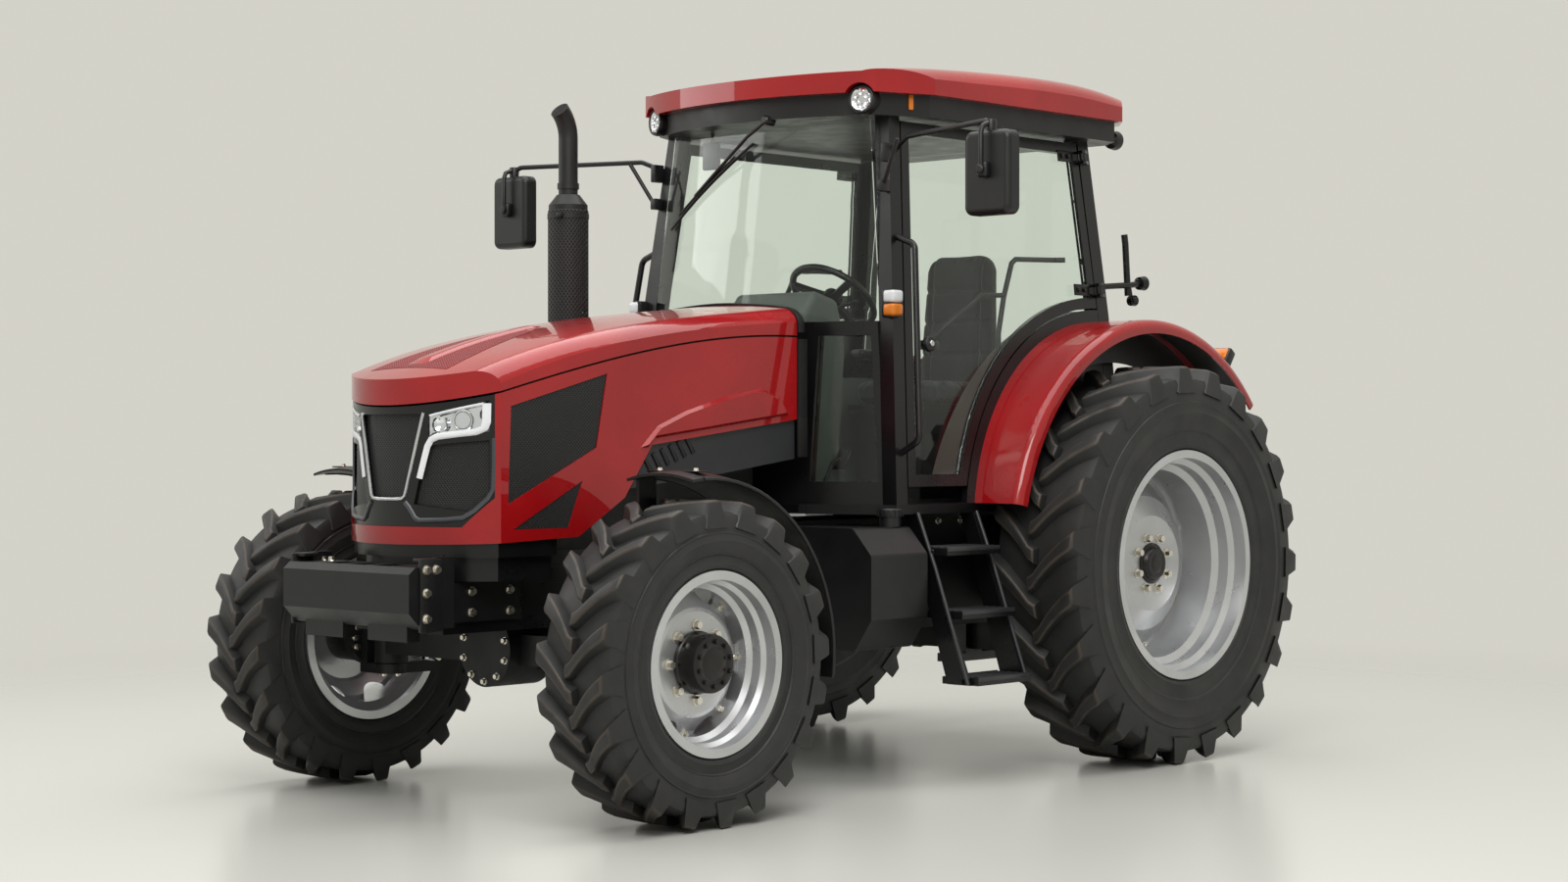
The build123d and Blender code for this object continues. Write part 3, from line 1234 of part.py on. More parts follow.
LINK_TIP_X = 450
LINK_EYE_R = 45
LINK_T = 34
LINK_BALL_R = 14.4
LINK_TIP_BACK = REAR_OVERHANG - LINK_EYE_R
LINK_TIP_Z = 420
LINK_H = 80
with BuildPart() as lower_links:
    with BuildSketch(Plane.XY.offset(200)):
        Polygon(
            (LINK_PIN_X - LINK_T / 2, ahead(-LINK_PIN_BACK)), (LINK_PIN_X + LINK_T / 2, ahead(-LINK_PIN_BACK)),
            (LINK_TIP_X + LINK_T / 2, ahead(-LINK_TIP_BACK)), (LINK_TIP_X - LINK_T / 2, ahead(-LINK_TIP_BACK)),
        )
    extrude(amount=600)
    with BuildSketch(Plane.YZ):
        Polygon(
            (ahead(-LINK_PIN_BACK), LINK_PIN_Z - LINK_H / 2), (ahead(-LINK_TIP_BACK), LINK_TIP_Z - LINK_H / 2),
            (ahead(-LINK_TIP_BACK), LINK_TIP_Z + LINK_H / 2), (ahead(-LINK_PIN_BACK), LINK_PIN_Z + LINK_H / 2),
        )
    extrude(amount=600, both=True, mode=Mode.INTERSECT)
    with Locations((LINK_PIN_X, ahead(-LINK_PIN_BACK), LINK_PIN_Z)):
        Cylinder(LINK_EYE_R, LINK_T, rotation=(0, 90, 0))
    with Locations((LINK_TIP_X, ahead(-LINK_TIP_BACK), LINK_TIP_Z)):
        Cylinder(LINK_EYE_R, 45, rotation=(0, 90, 0))
    with Locations((LINK_PIN_X, ahead(-LINK_PIN_BACK), LINK_PIN_Z)):
        Cylinder(LINK_PIN_R + FIT_GAP, 120, rotation=(0, 90, 0), mode=Mode.SUBTRACT)
    with Locations((LINK_TIP_X, ahead(-LINK_TIP_BACK), LINK_TIP_Z)):
        Cylinder(LINK_BALL_R, 120, rotation=(0, 90, 0), mode=Mode.SUBTRACT)
    mirror(about=Plane.YZ)
save(lower_links, "lower_links")

LIFT_ARM_X = 375
LIFT_ARM_T = 36
LIFT_ARM_BACK = 660
LIFT_ARM_Z = 1160
ROD_PIN_R = 14
with BuildPart() as lift_arms:
    with Locations((0, ahead(-LIFT_SHAFT_BACK), LIFT_SHAFT_Z)):
        Cylinder(LIFT_SHAFT_R, 2 * LIFT_ARM_X, rotation=(0, 90, 0))
    for side in (1, -1):
        with BuildSketch(Plane.YZ.offset(side * LIFT_ARM_X - LIFT_ARM_T / 2)):
            Polygon(
                (ahead(-LIFT_SHAFT_BACK), LIFT_SHAFT_Z - 62), (ahead(-LIFT_ARM_BACK), LIFT_ARM_Z - 36),
                (ahead(-LIFT_ARM_BACK), LIFT_ARM_Z + 36), (ahead(-LIFT_SHAFT_BACK), LIFT_SHAFT_Z + 62),
            )
            with Locations((ahead(-LIFT_SHAFT_BACK), LIFT_SHAFT_Z)):
                Circle(62)
            with Locations((ahead(-LIFT_ARM_BACK), LIFT_ARM_Z)):
                Circle(36)
                Circle(ROD_PIN_R + FIT_GAP, mode=Mode.SUBTRACT)
        extrude(amount=LIFT_ARM_T)
save(lift_arms, "lift_arms")

ROD_X = LIFT_ARM_X + LIFT_ARM_T / 2 + 22
ROD_LOW_BACK = 640
link_slope = (LINK_TIP_Z - LINK_PIN_Z) / (LINK_TIP_BACK - LINK_PIN_BACK)
ROD_LOW_Z = LINK_PIN_Z + link_slope * (ROD_LOW_BACK - LINK_PIN_BACK)
with BuildPart() as lift_rods:
    with Locations((ROD_X, ahead(-LIFT_ARM_BACK), LIFT_ARM_Z)):
        Cylinder(34, 30, rotation=(0, 90, 0))
    with Locations((ROD_X - 30, ahead(-LIFT_ARM_BACK), LIFT_ARM_Z)):
        Cylinder(ROD_PIN_R, 80, rotation=(0, 90, 0))
    with Locations((ROD_X, ahead(-ROD_LOW_BACK), ROD_LOW_Z)):
        Cylinder(34, 30, rotation=(0, 90, 0))
    with BuildSketch(Plane.YZ.offset(ROD_X - 14)):
        Polygon(
            (ahead(-LIFT_ARM_BACK + 18), LIFT_ARM_Z), (ahead(-ROD_LOW_BACK + 18), ROD_LOW_Z),
            (ahead(-ROD_LOW_BACK - 18), ROD_LOW_Z), (ahead(-LIFT_ARM_BACK - 18), LIFT_ARM_Z),
        )
    extrude(amount=28)
    mirror(about=Plane.YZ)
save(lift_rods, "lift_rods")

TOP_LINK_TIP_BACK = 1080
TOP_LINK_TIP_Z = 860
TOP_LINK_R = 24
TOP_LINK_BORE_R = 12.9
with BuildPart() as top_link:
    with Locations((0, ahead(-TOP_LINK_TIP_BACK), TOP_LINK_TIP_Z)):
        Cylinder(38, 51, rotation=(0, 90, 0))
    with BuildLine() as rod_line:
        Line((0, ahead(-425), TOP_LINK_Z), (0, ahead(-TOP_LINK_TIP_BACK), TOP_LINK_TIP_Z))
    with BuildSketch(Plane(rod_line.line @ 0, z_dir=rod_line.line % 0)):
        Circle(TOP_LINK_R)
    sweep(path=rod_line.line)
    add(gearbox.part, mode=Mode.SUBTRACT)
    with Locations((0, ahead(-TOP_LINK_TIP_BACK), TOP_LINK_TIP_Z)):
        Cylinder(TOP_LINK_BORE_R, 120, rotation=(0, 90, 0), mode=Mode.SUBTRACT)
save(top_link, "top_link")

DRAWBAR_END = 880
DRAWBAR_HOLE = 820
DRAWBAR_Z = 400
with BuildPart() as drawbar:
    with Locations((0, ahead(-(DRAWBAR_END - 100) / 2), DRAWBAR_Z)):
        Box(90, DRAWBAR_END + 100, 40)
    with Locations((0, ahead(-330), (DRAWBAR_Z + 20 + 490) / 2)):
        Box(160, 120, 490 - DRAWBAR_Z - 20)
    with Locations((0, ahead(-20), (DRAWBAR_Z + 20 + 580) / 2)):
        Box(160, 120, 580 - DRAWBAR_Z - 20)
    with Locations((0, ahead(-DRAWBAR_HOLE), DRAWBAR_Z)):
        Cylinder(16.5, 120, mode=Mode.SUBTRACT)
    add(gearbox.part, mode=Mode.SUBTRACT)
save(drawbar, "drawbar")
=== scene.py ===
from math import cos, exp, pi, radians, sin, sqrt, tan

import bmesh
import bpy
from mathutils import Matrix, Vector
from mathutils.bvhtree import BVHTree


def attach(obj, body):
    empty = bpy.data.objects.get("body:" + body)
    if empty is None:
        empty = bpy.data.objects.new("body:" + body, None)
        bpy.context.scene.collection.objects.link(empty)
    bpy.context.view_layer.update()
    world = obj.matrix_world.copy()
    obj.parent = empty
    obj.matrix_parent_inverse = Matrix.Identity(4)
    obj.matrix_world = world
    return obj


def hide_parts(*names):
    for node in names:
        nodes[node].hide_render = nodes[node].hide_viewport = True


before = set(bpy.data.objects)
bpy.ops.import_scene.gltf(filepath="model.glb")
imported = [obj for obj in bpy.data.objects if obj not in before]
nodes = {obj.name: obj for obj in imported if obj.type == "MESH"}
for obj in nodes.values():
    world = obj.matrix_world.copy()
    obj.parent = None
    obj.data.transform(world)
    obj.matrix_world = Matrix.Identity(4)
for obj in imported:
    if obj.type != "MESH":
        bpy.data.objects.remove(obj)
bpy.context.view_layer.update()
FRONT_AT = (1.004, -1.660, 0.608)  # middle of the left front wheel
REAR_AT = (1.097, 1.170, 0.878)  # middle of the left rear wheel
AXLE_Y, AXLE_Z = FRONT_AT[1:]

# Frame rails and apron: thick steel plate under the engine with a pressed apron round the nose.
# Sprayed satin black, with the faint orange peel of the coat, and bolted along the rails with zinc bolts.


def new_finish(name, colour, roughness, metallic=0.0):
    """A material and its Principled shader."""
    finish = bpy.data.materials.new(name)
    finish.use_nodes = True
    shader = finish.node_tree.nodes["Principled BSDF"]
    shader.inputs["Base Color"].default_value = (*colour, 1)
    shader.inputs["Roughness"].default_value = roughness
    shader.inputs["Metallic"].default_value = metallic
    return finish, shader


def add_node(tree, kind, inputs=None, **settings):
    """A shader node with its settings; each input is a value or the socket that feeds it."""
    made = tree.nodes.new(kind)
    for name, value in settings.items():
        setattr(made, name, value)
    for key, value in (inputs or {}).items():
        if isinstance(value, bpy.types.NodeSocket):
            tree.links.new(value, made.inputs[key])
        else:
            made.inputs[key].default_value = value
    return made


def add_noise(finish, scale, detail=4.0):
    """Noise over the piece's own coordinates."""
    coords = add_node(finish.node_tree, "ShaderNodeTexCoord")
    inputs = {"Vector": coords.outputs["Object"], "Scale": scale, "Detail": detail}
    return add_node(finish.node_tree, "ShaderNodeTexNoise", inputs).outputs["Fac"]


def vary(finish, source, socket, stops):
    """Drive a shader socket from a source through a ramp of values or colours."""
    tree = finish.node_tree
    ramp = add_node(tree, "ShaderNodeValToRGB", {"Fac": source})
    for place, _ in stops[1:-1]:
        ramp.color_ramp.elements.new(place)
    for element, (place, value) in zip(ramp.color_ramp.elements, stops):
        element.position = place
        element.color = (*value, 1) if isinstance(value, tuple) else (value, value, value, 1)
    tree.links.new(ramp.outputs["Color"], tree.nodes["Principled BSDF"].inputs[socket])


def add_bump(finish, source, strength, distance):
    """Bump from a source, its depth in metres."""
    tree = finish.node_tree
    bump = add_node(tree, "ShaderNodeBump", {"Strength": strength, "Distance": distance, "Height": source})
    tree.links.new(bump.outputs["Normal"], tree.nodes["Principled BSDF"].inputs["Normal"])


def coated(name, colour, roughness, grain, depth, metallic=0.0, gloss=0.5):
    """A sprayed, moulded or cast surface: blotches of tone and gloss, and a grain of the given scale and depth."""
    finish, shader = new_finish(name, colour, roughness, metallic)
    shader.inputs["Specular IOR Level"].default_value = gloss
    pale = tuple(min(1.0, c * 1.18 + 0.0005) for c in colour)
    dark = tuple(c * 0.86 for c in colour)
    vary(finish, add_noise(finish, 2.4), "Base Color", [(0.3, dark), (0.5, colour), (0.72, pale)])
    vary(finish, add_noise(finish, 9.0), "Roughness", [(0.3, roughness * 0.85), (0.7, min(1.0, roughness * 1.15))])
    add_bump(finish, add_noise(finish, grain, 2.0), 0.15, depth)
    return finish


def dress(finish, *names):
    """Give CAD nodes their finish."""
    for name in names:
        skin = nodes[name].data
        skin.materials.clear()
        skin.materials.append(finish)


def piece(shape, name, finish, body="chassis", crease=32):
    """Turn a shape into a piece that rides on a body, smooth up to the crease angle."""
    bmesh.ops.recalc_face_normals(shape, faces=shape.faces)
    mesh = bpy.data.meshes.new(name)
    shape.to_mesh(mesh)
    shape.free()
    mesh.materials.append(finish)
    mesh.shade_smooth()
    mesh.set_sharp_from_angle(angle=radians(crease))
    made = bpy.data.objects.new(name, mesh)
    bpy.context.scene.collection.objects.link(made)
    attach(made, body)
    return made


def facing(direction):
    """Turn that points the z axis along a direction."""
    return Vector(direction).to_track_quat("Z", "Y").to_matrix().to_4x4()


def add_bolt(shape, place, direction, across=0.024, head=0.013):
    """A washer and a chamfered hexagon head standing on a face."""
    stand = Matrix.Translation(place) @ facing(direction)
    bmesh.ops.create_cone(
        shape, cap_ends=True, segments=14, radius1=across * 0.75, radius2=across * 0.7, depth=0.004,
        matrix=stand @ Matrix.Translation((0, 0, 0.0015)),
    )
    bmesh.ops.create_cone(
        shape, cap_ends=True, segments=6, radius1=across * 0.577, radius2=across * 0.5, depth=head,
        matrix=stand @ Matrix.Translation((0, 0, head / 2 + 0.003)),
    )


def mirrored(place, side):
    """A place on the left, or its mirror image on the right."""
    return Vector((side * place[0], *place[1:]))


def both(stem):
    """The sides of a pair of bodies and their names."""
    return (1, f"{stem}_l"), (-1, f"{stem}_r")


def around(count, first=0):
    """Unit spokes in the plane of a wheel, evenly spaced from a first angle."""
    turns = [radians(first + 360 * step / count) for step in range(count)]
    return [Vector((0, cos(turn), sin(turn))) for turn in turns]


black_paint = coated("black_paint", (0.0042, 0.0042, 0.0047), 0.30, 240.0, 0.00018, gloss=0.40)
zinc = coated("zinc_plate", (0.80, 0.76, 0.67), 0.27, 90.0, 0.0001, metallic=1.0)
dress(black_paint, "front_frame")
RAIL_X = 0.260
rail_bolts = bmesh.new()
for side in (1, -1):
    for y in (-0.57, -0.69, -1.11, -1.23, -1.45):
        for z in (0.83, 0.95):
            add_bolt(rail_bolts, (side * RAIL_X, y, z), (side, 0, 0))
piece(rail_bolts, "rail_bolts", zinc)

# Front weight carrier: a heavy fabricated box on two side plates, bolted to the rails.
# Thick satin-black paint over rough plate; the bracket plates at its ends are held by zinc bolts.


def round_edges(shape, edges, offset, segments):
    """Round edges off, and return the new faces."""
    return bmesh.ops.bevel(
        shape, geom=edges, offset=offset, segments=segments, profile=0.5, affect="EDGES", material=-1,
        clamp_overlap=True,
    )["faces"]


def add_block(shape, centre, size, radius=0.004, turn=None, segments=2):
    """A block with rounded edges."""
    place = Matrix.Translation(centre) @ (turn or Matrix()) @ Matrix.Diagonal((*size, 1))
    made = bmesh.ops.create_cube(shape, size=1.0, matrix=place)
    round_edges(shape, list({edge for vert in made["verts"] for edge in vert.link_edges}), radius, segments)


rough_black = coated("rough_black_paint", (0.0060, 0.0060, 0.0064), 0.40, 60.0, 0.0015, gloss=0.40)
dress(rough_black, "weight_carrier")
CARRIER_X = 0.378
brackets = bmesh.new()
bracket_bolts = bmesh.new()
for side in (1, -1):
    add_block(brackets, (side * (CARRIER_X + 0.006), -2.375, 0.860), (0.016, 0.100, 0.270), 0.003)
    add_block(brackets, (side * (CARRIER_X - 0.020), -2.375, 0.990), (0.064, 0.070, 0.014), 0.003)
    for y, z in ((-2.398, 0.955), (-2.352, 0.955), (-2.398, 0.870), (-2.398, 0.775)):
        add_bolt(bracket_bolts, (side * (CARRIER_X + 0.014), y, z), (side, 0, 0), 0.026)
    for y, z in ((-2.09, 0.860), (-1.90, 0.860), (-1.90, 0.780), (-2.09, 0.780)):
        add_bolt(bracket_bolts, (side * 0.284, y, z), (side, 0, 0), 0.026)
    add_bolt(bracket_bolts, (side * 0.300, -2.300, 0.965), (0, 0, 1), 0.026)
    add_bolt(bracket_bolts, (side * 0.345, -2.300, 0.965), (0, 0, 1), 0.020)
for x in (-0.10, 0.0, 0.10):
    for y in (-2.32, -2.36, -2.40):
        add_block(brackets, (x * 1.5, y, 0.9515), (0.100, 0.016, 0.010), 0.002)
piece(brackets, "carrier_brackets", rough_black)
piece(bracket_bolts, "carrier_bolts", zinc)

# Engine, gearbox and rear housing: grey-iron castings painted black, sandy where the mould shows through.
# Flanges are bolted; what lies under the bonnet is seen only through the mesh and from below.
casting = coated("cast_iron_paint", (0.0075, 0.0075, 0.0078), 0.48, 150.0, 0.003, gloss=0.35)
dress(casting, "engine_block", "gearbox", "rear_axle")
housing_bolts = bmesh.new()
for side in (1, -1):
    for spoke in around(10):
        add_bolt(housing_bolts, Vector((side * 0.800, *REAR_AT[1:])) + spoke * 0.136, (side, 0, 0), 0.020)
    for y in (0.02, 0.16, 0.30, 0.44):
        for z in (0.68, 1.02):
            add_bolt(housing_bolts, (side * 0.230, y, z), (side, 0, 0), 0.022)
    for y in (0.70, 0.86, 1.48):
        for z in (0.64, 1.06):
            add_bolt(housing_bolts, (side * 0.260, y, z), (side, 0, 0), 0.022)
for x in (-0.16, 0.16):
    for z in (0.54, 0.72, 0.86):
        add_bolt(housing_bolts, (x, 1.590, z), (0, 1, 0), 0.022)
piece(housing_bolts, "housing_bolts", zinc)

# Driven front axle: a cast beam with a bolted middle housing, yokes on king pins and a steering cylinder.
# Black paint on the castings, hard chrome on the rod that slides in the cylinder.
dress(casting, "front_axle", "knuckle_left", "knuckle_right")
chrome = coated("hard_chrome", (0.66, 0.66, 0.68), 0.12, 400.0, 0.0001, metallic=1.0)
dress(chrome, "track_rod")
axle_bolts = bmesh.new()
for spoke in around(10, 18):
    add_bolt(axle_bolts, (0.128 * spoke.y, AXLE_Y - 0.120, AXLE_Z + 0.128 * spoke.z), (0, -1, 0), 0.020)
piece(axle_bolts, "axle_cover_bolts", zinc)
for side, body in both("steer"):
    knuckle_bolts = bmesh.new()
    for angle in (0, 25, 155, 180, 205, 335):
        spoke = around(1, angle)[0]
        add_bolt(knuckle_bolts, Vector((side * 0.850, AXLE_Y, AXLE_Z)) + spoke * 0.095, (-side, 0, 0), 0.020)
    for z, up in ((AXLE_Z + 0.145, 1), (AXLE_Z - 0.145, -1)):
        for dx, dy in ((0.04, 0), (-0.04, 0), (0, 0.04), (0, -0.04)):
            add_bolt(knuckle_bolts, (side * (0.730 + dx), AXLE_Y + dy, z), (0, 0, up), 0.016, 0.009)
    piece(knuckle_bolts, f"knuckle_bolts_{body[-1]}", zinc, body)
rod_nuts = bmesh.new()
for side in (1, -1):
    add_bolt(rod_nuts, (side * 0.700, AXLE_Y + 0.170, 0.557), (0, 0, 1), 0.034, 0.016)
    bmesh.ops.create_cone(
        rod_nuts, cap_ends=True, segments=6, radius1=0.027, radius2=0.027, depth=0.030,
        matrix=Matrix.Translation((side * 0.640, AXLE_Y + 0.170, 0.535)) @ facing((1, 0, 0)),
    )
piece(rod_nuts, "track_rod_nuts", zinc, "rod")

# Front wheels: a rolled rim with a scalloped disc, welded and sprayed silver, on a black planetary hub.
# The disc is held to the hub by eight zinc bolts and to the rim by one on each lobe.


def turned(shape, outline, centre, direction, steps=48):
    """Turn an outline of (along, radius) points about an axis through a centre."""
    before = set(shape.verts)
    verts = [shape.verts.new((radius, 0, along)) for along, radius in outline]
    edges = [shape.edges.new(pair) for pair in zip(verts, verts[1:])]
    bmesh.ops.spin(
        shape, geom=verts + edges, cent=(0, 0, 0), axis=(0, 0, 1), angle=2 * pi, steps=steps, use_merge=True
    )
    bmesh.ops.remove_doubles(shape, verts=[vert for vert in shape.verts if vert not in before], dist=1e-5)
    bmesh.ops.transform(
        shape, matrix=Matrix.Translation(centre) @ facing(direction),
        verts=[vert for vert in shape.verts if vert not in before],
    )


wheel_silver = coated("wheel_silver", (0.57, 0.575, 0.585), 0.31, 300.0, 0.00004, metallic=0.80)
hub_black = coated("hub_black", (0.0065, 0.0055, 0.0050), 0.30, 160.0, 0.0005, gloss=0.40)
dress(wheel_silver, "front_wheel_left", "front_wheel_right")
for side, body in both("front_wheel"):
    out = Vector((side, 0, 0))
    centre = mirrored(FRONT_AT, side)
    hub = bmesh.new()
    turned(hub, [
        (-0.0960, 0.0620), (-0.0960, 0.1050), (-0.0900, 0.1066), (0.0475, 0.1066), (0.0475, 0.1180), (0.0600, 0.1180),
        (0.0650, 0.1130), (0.1320, 0.1090), (0.1400, 0.1050), (0.1434, 0.0980), (0.1434, 0.0660), (0.1425, 0.0645),
        (0.1425, 0.0620), (0.1434, 0.0605), (0.1450, 0.0300), (0.1450, 0.0)
    ], centre, out)
    piece(hub, f"front_hub_{body[-1]}", hub_black, body)
    bolts = bmesh.new()
    small = bmesh.new()
    for spoke in around(8):
        add_bolt(bolts, centre + spoke * 0.140 + out * 0.046, out, 0.030, 0.020)
        add_bolt(bolts, centre + spoke * 0.2705 - out * 0.0135, out * 0.92 + spoke * 0.39, 0.022)
    for spoke in around(10, 15):
        add_bolt(small, centre + spoke * 0.0830 + out * 0.1432, out, 0.016, 0.008)
    piece(bolts, f"front_wheel_bolts_{body[-1]}", zinc, body)
    piece(small, f"front_hub_bolts_{body[-1]}", hub_black, body)

# Tyres: ply-cased rubber with two staggered rows of bent bars, moulded in one piece.
# Charcoal where the mould left it, browned and scuffed along the edges of the bars, with bare sidewalls.
tyre_rubber, _ = new_finish("tyre_rubber", (0.021, 0.0205, 0.020), 0.66)
worn = add_node(tyre_rubber.node_tree, "ShaderNodeAttribute", attribute_name="wear")
scuff = add_node(
    tyre_rubber.node_tree, "ShaderNodeMath",
    {0: worn.outputs["Fac"], 1: 0.5, 2: add_noise(tyre_rubber, 14.0, 6.0)}, operation="MULTIPLY_ADD",
)
vary(tyre_rubber, scuff.outputs["Value"], "Base Color", [
    (0.30, (0.0100, 0.0099, 0.0098)), (0.62, (0.0150, 0.0146, 0.0142)), (0.84, (0.0190, 0.0170, 0.0148)),
    (1.0, (0.042, 0.031, 0.022)),
])
vary(tyre_rubber, add_noise(tyre_rubber, 6.0), "Roughness", [(0.3, 0.46), (0.7, 0.64)])
add_bump(tyre_rubber, add_noise(tyre_rubber, 300.0, 2.0), 0.2, 0.0008)


def build_tyre(node, body, centre, radius, width, rim_r, flange_r, rim_w, lugs, lug_h, steps):
    """A revolved casing and its bars, replacing the CAD tyre of the same outline."""
    half = width / 2
    bead = rim_w / 2 - 0.0124
    tread = radius - lug_h
    belly = (flange_r + radius) / 2 - 0.020
    wall = belly - flange_r
    flank = [
        (bead, rim_r + 0.001), (bead, flange_r + 0.002), (bead + 0.013, flange_r + 0.010),
        (bead + 0.018, flange_r + 0.024), (bead + 0.015, flange_r + 0.030),
        (half - 0.026, belly - wall * 0.50), (half - 0.0205, belly - wall * 0.47), (half - 0.0185, belly - wall * 0.44),
        (half - 0.020, belly - wall * 0.41), (half - 0.007, belly - wall * 0.20), (half - 0.0015, belly - 0.004),
        (half, belly), (half - 0.0015, belly + 0.004), (half - 0.006, belly + wall * 0.22),
        (half - 0.0035, belly + wall * 0.25), (half - 0.0045, belly + wall * 0.29),
        (half - 0.0085, belly + wall * 0.31), (half * 0.945, tread - 0.034), (half * 0.90, tread - 0.015),
        (half * 0.78, tread - 0.007), (half * 0.45, tread - 0.002), (0, tread),
    ]
    outline = flank + [(-x, r) for x, r in reversed(flank[:-1])]
    shape = bmesh.new()
    turned(shape, outline, (0, 0, 0), (1, 0, 0), steps)
    shape.faces.layers.float.new("wear")
    bar = lug_h * 1.6
    sweep = half * 0.86
    end = half - 0.003
    lug = bmesh.new()
    lug_wear = lug.faces.layers.float.new("wear")
    bmesh.ops.create_grid(lug, x_segments=8, y_segments=3, size=1.0)
    rows = [[vert for vert in lug.verts if vert.co.x * way > 0.99] for way in (-1, 1)]
    for vert in lug.verts:
        x = -bar / 4 + (end + bar / 4) * (vert.co.x + 1) / 2
        u = max(x, 0) / half
        thick = bar * (0.90 + 0.22 * u)
        low = tread - 0.020 - max(0.0, u - 0.75) * 4 * lug_h * 1.25
        base = 0.76 + 0.26 * u * u
        reach, height = [(-base, low), (-0.43, radius), (0.43, radius), (base, low)][round((vert.co.y + 1) * 1.5)]
        if vert.co.x > 0.99 and height == radius:
            x -= lug_h * 0.35
            height -= lug_h * 0.10
        vert.co = (x, sweep * (1.48 * u - 0.48 * u * u) + reach * thick, height)
    for row in rows:
        bmesh.ops.contextual_create(lug, geom=row)
    ridge = [
        edge for edge in lug.edges
        if all(vert.co.z > radius - lug_h * 0.15 for vert in edge.verts) and edge.calc_face_angle(0) > 0.6
    ]
    for face in round_edges(lug, ridge, lug_h * 0.20, 3):
        face[lug_wear] = 1.0
    for vert in lug.verts:
        turn = vert.co.y / radius
        vert.co = (vert.co.x, vert.co.z * sin(turn), vert.co.z * cos(turn))
    twin = bmesh.ops.duplicate(lug, geom=lug.verts[:] + lug.edges[:] + lug.faces[:])["geom"]
    twin_verts = [item for item in twin if isinstance(item, bmesh.types.BMVert)]
    bmesh.ops.scale(lug, vec=(-1, 1, 1), verts=twin_verts)
    bmesh.ops.rotate(lug, cent=(0, 0, 0), matrix=Matrix.Rotation(-pi / lugs, 3, "X"), verts=twin_verts)
    bmesh.ops.reverse_faces(lug, faces=[item for item in twin if isinstance(item, bmesh.types.BMFace)])
    bmesh.ops.spin(
        lug, geom=lug.verts[:] + lug.edges[:] + lug.faces[:], cent=(0, 0, 0), axis=(1, 0, 0),
        angle=2 * pi * (lugs - 1) / lugs, steps=lugs - 1, use_duplicate=True,
    )
    bars = bpy.data.meshes.new("bars")
    lug.to_mesh(bars)
    lug.free()
    shape.from_mesh(bars)
    bpy.data.meshes.remove(bars)
    bmesh.ops.translate(shape, vec=centre, verts=shape.verts)
    made = piece(shape, f"{node}_dressed", tyre_rubber, body, crease=38)
    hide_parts(node)


for axle, wheel_at, sizes in (
    ("front", FRONT_AT, (0.608, 0.376, 0.323, 0.345, 0.324, 20, 0.038, 88)),
    ("rear", REAR_AT, (0.878, 0.467, 0.483, 0.506, 0.402, 23, 0.044, 112)),
):
    for side, end in ((1, "left"), (-1, "right")):
        build_tyre(f"{axle}_tyre_{end}", f"{axle}_wheel_{end[0]}", mirrored(wheel_at, side), *sizes)

# Rear wheels: a wide stepped rim with a dished disc, sprayed silver, on eight zinc wheel bolts.
# The end of the axle shaft shows as a dark boss in the middle.
dress(wheel_silver, "rear_wheel_left", "rear_wheel_right")
for side, body in both("rear_wheel"):
    out = Vector((side, 0, 0))
    centre = mirrored(REAR_AT, side)
    boss = bmesh.new()
    turned(boss, [
        (0.0135, 0.0920), (0.0170, 0.0915), (0.0200, 0.0880), (0.0215, 0.0790), (0.0400, 0.0700), (0.0440, 0.0640),
        (0.0440, 0.0470), (0.0430, 0.0455), (0.0430, 0.0435), (0.0440, 0.0420), (0.0450, 0.0200), (0.0450, 0.0)
    ], centre, out, 40)
    piece(boss, f"axle_boss_{body[-1]}", hub_black, body)
    bolts = bmesh.new()
    for spoke in around(8, 20):
        add_bolt(bolts, centre + spoke * 0.120 + out * 0.013, out, 0.030, 0.024)
        add_bolt(bolts, centre + spoke * 0.402 - out * 0.127, out * 0.97 + spoke * 0.2, 0.018, 0.010)
    piece(bolts, f"rear_wheel_bolts_{body[-1]}", zinc, body)

# Front mudguards: moulded black plastic over each tyre, stiffened by a rolled edge.
# Each is bolted to a strap that stands on the knuckle, so it steers with its wheel.


def add_tube(shape, points, radius, sides=4, closed=False):
    """A round tube along points, through a curve with a round bevel."""
    curve = bpy.data.curves.new("tube", "CURVE")
    curve.dimensions = "3D"
    curve.bevel_depth = radius
    curve.bevel_resolution = sides
    curve.use_fill_caps = not closed
    spline = curve.splines.new("POLY")
    spline.points.add(len(points) - 1)
    for point, place in zip(spline.points, points):
        point.co = (*place, 1)
    spline.use_cyclic_u = closed
    holder = bpy.data.objects.new("tube", curve)
    mesh = bpy.data.meshes.new_from_object(holder)
    shape.from_mesh(mesh)
    bpy.data.objects.remove(holder)
    bpy.data.curves.remove(curve)
    bpy.data.meshes.remove(mesh)


black_plastic = coated("black_plastic", (0.0066, 0.0066, 0.0070), 0.40, 420.0, 0.0008, gloss=0.42)
dress(black_plastic, "mudguard_left", "mudguard_right")
for side, body in both("steer"):
    edge = bmesh.new()
    for x in (0.783, 1.126):
        arc = [radians(a) for a in range(-7, 98, 5)]
        add_tube(edge, [(side * x, AXLE_Y + 0.682 * cos(a), AXLE_Z + 0.682 * sin(a)) for a in arc], 0.008)
    add_block(edge, (side * 0.955, AXLE_Y, AXLE_Z + 0.708), (0.28, 0.050, 0.006), 0.002)
    piece(edge, f"mudguard_edges_{body[-1]}", black_plastic, body)
    bolts = bmesh.new()
    for z in (0.86, 0.94):
        for dy in (-0.025, 0.025):
            add_bolt(bolts, (side * 0.780, AXLE_Y + dy, z), (-side, 0, 0), 0.018, 0.009)
    for x in (0.86, 1.05):
        add_bolt(bolts, (side * x, AXLE_Y, AXLE_Z + 0.709), (0, 0, 1), 0.018, 0.009)
    piece(bolts, f"mudguard_bolts_{body[-1]}", zinc, body)

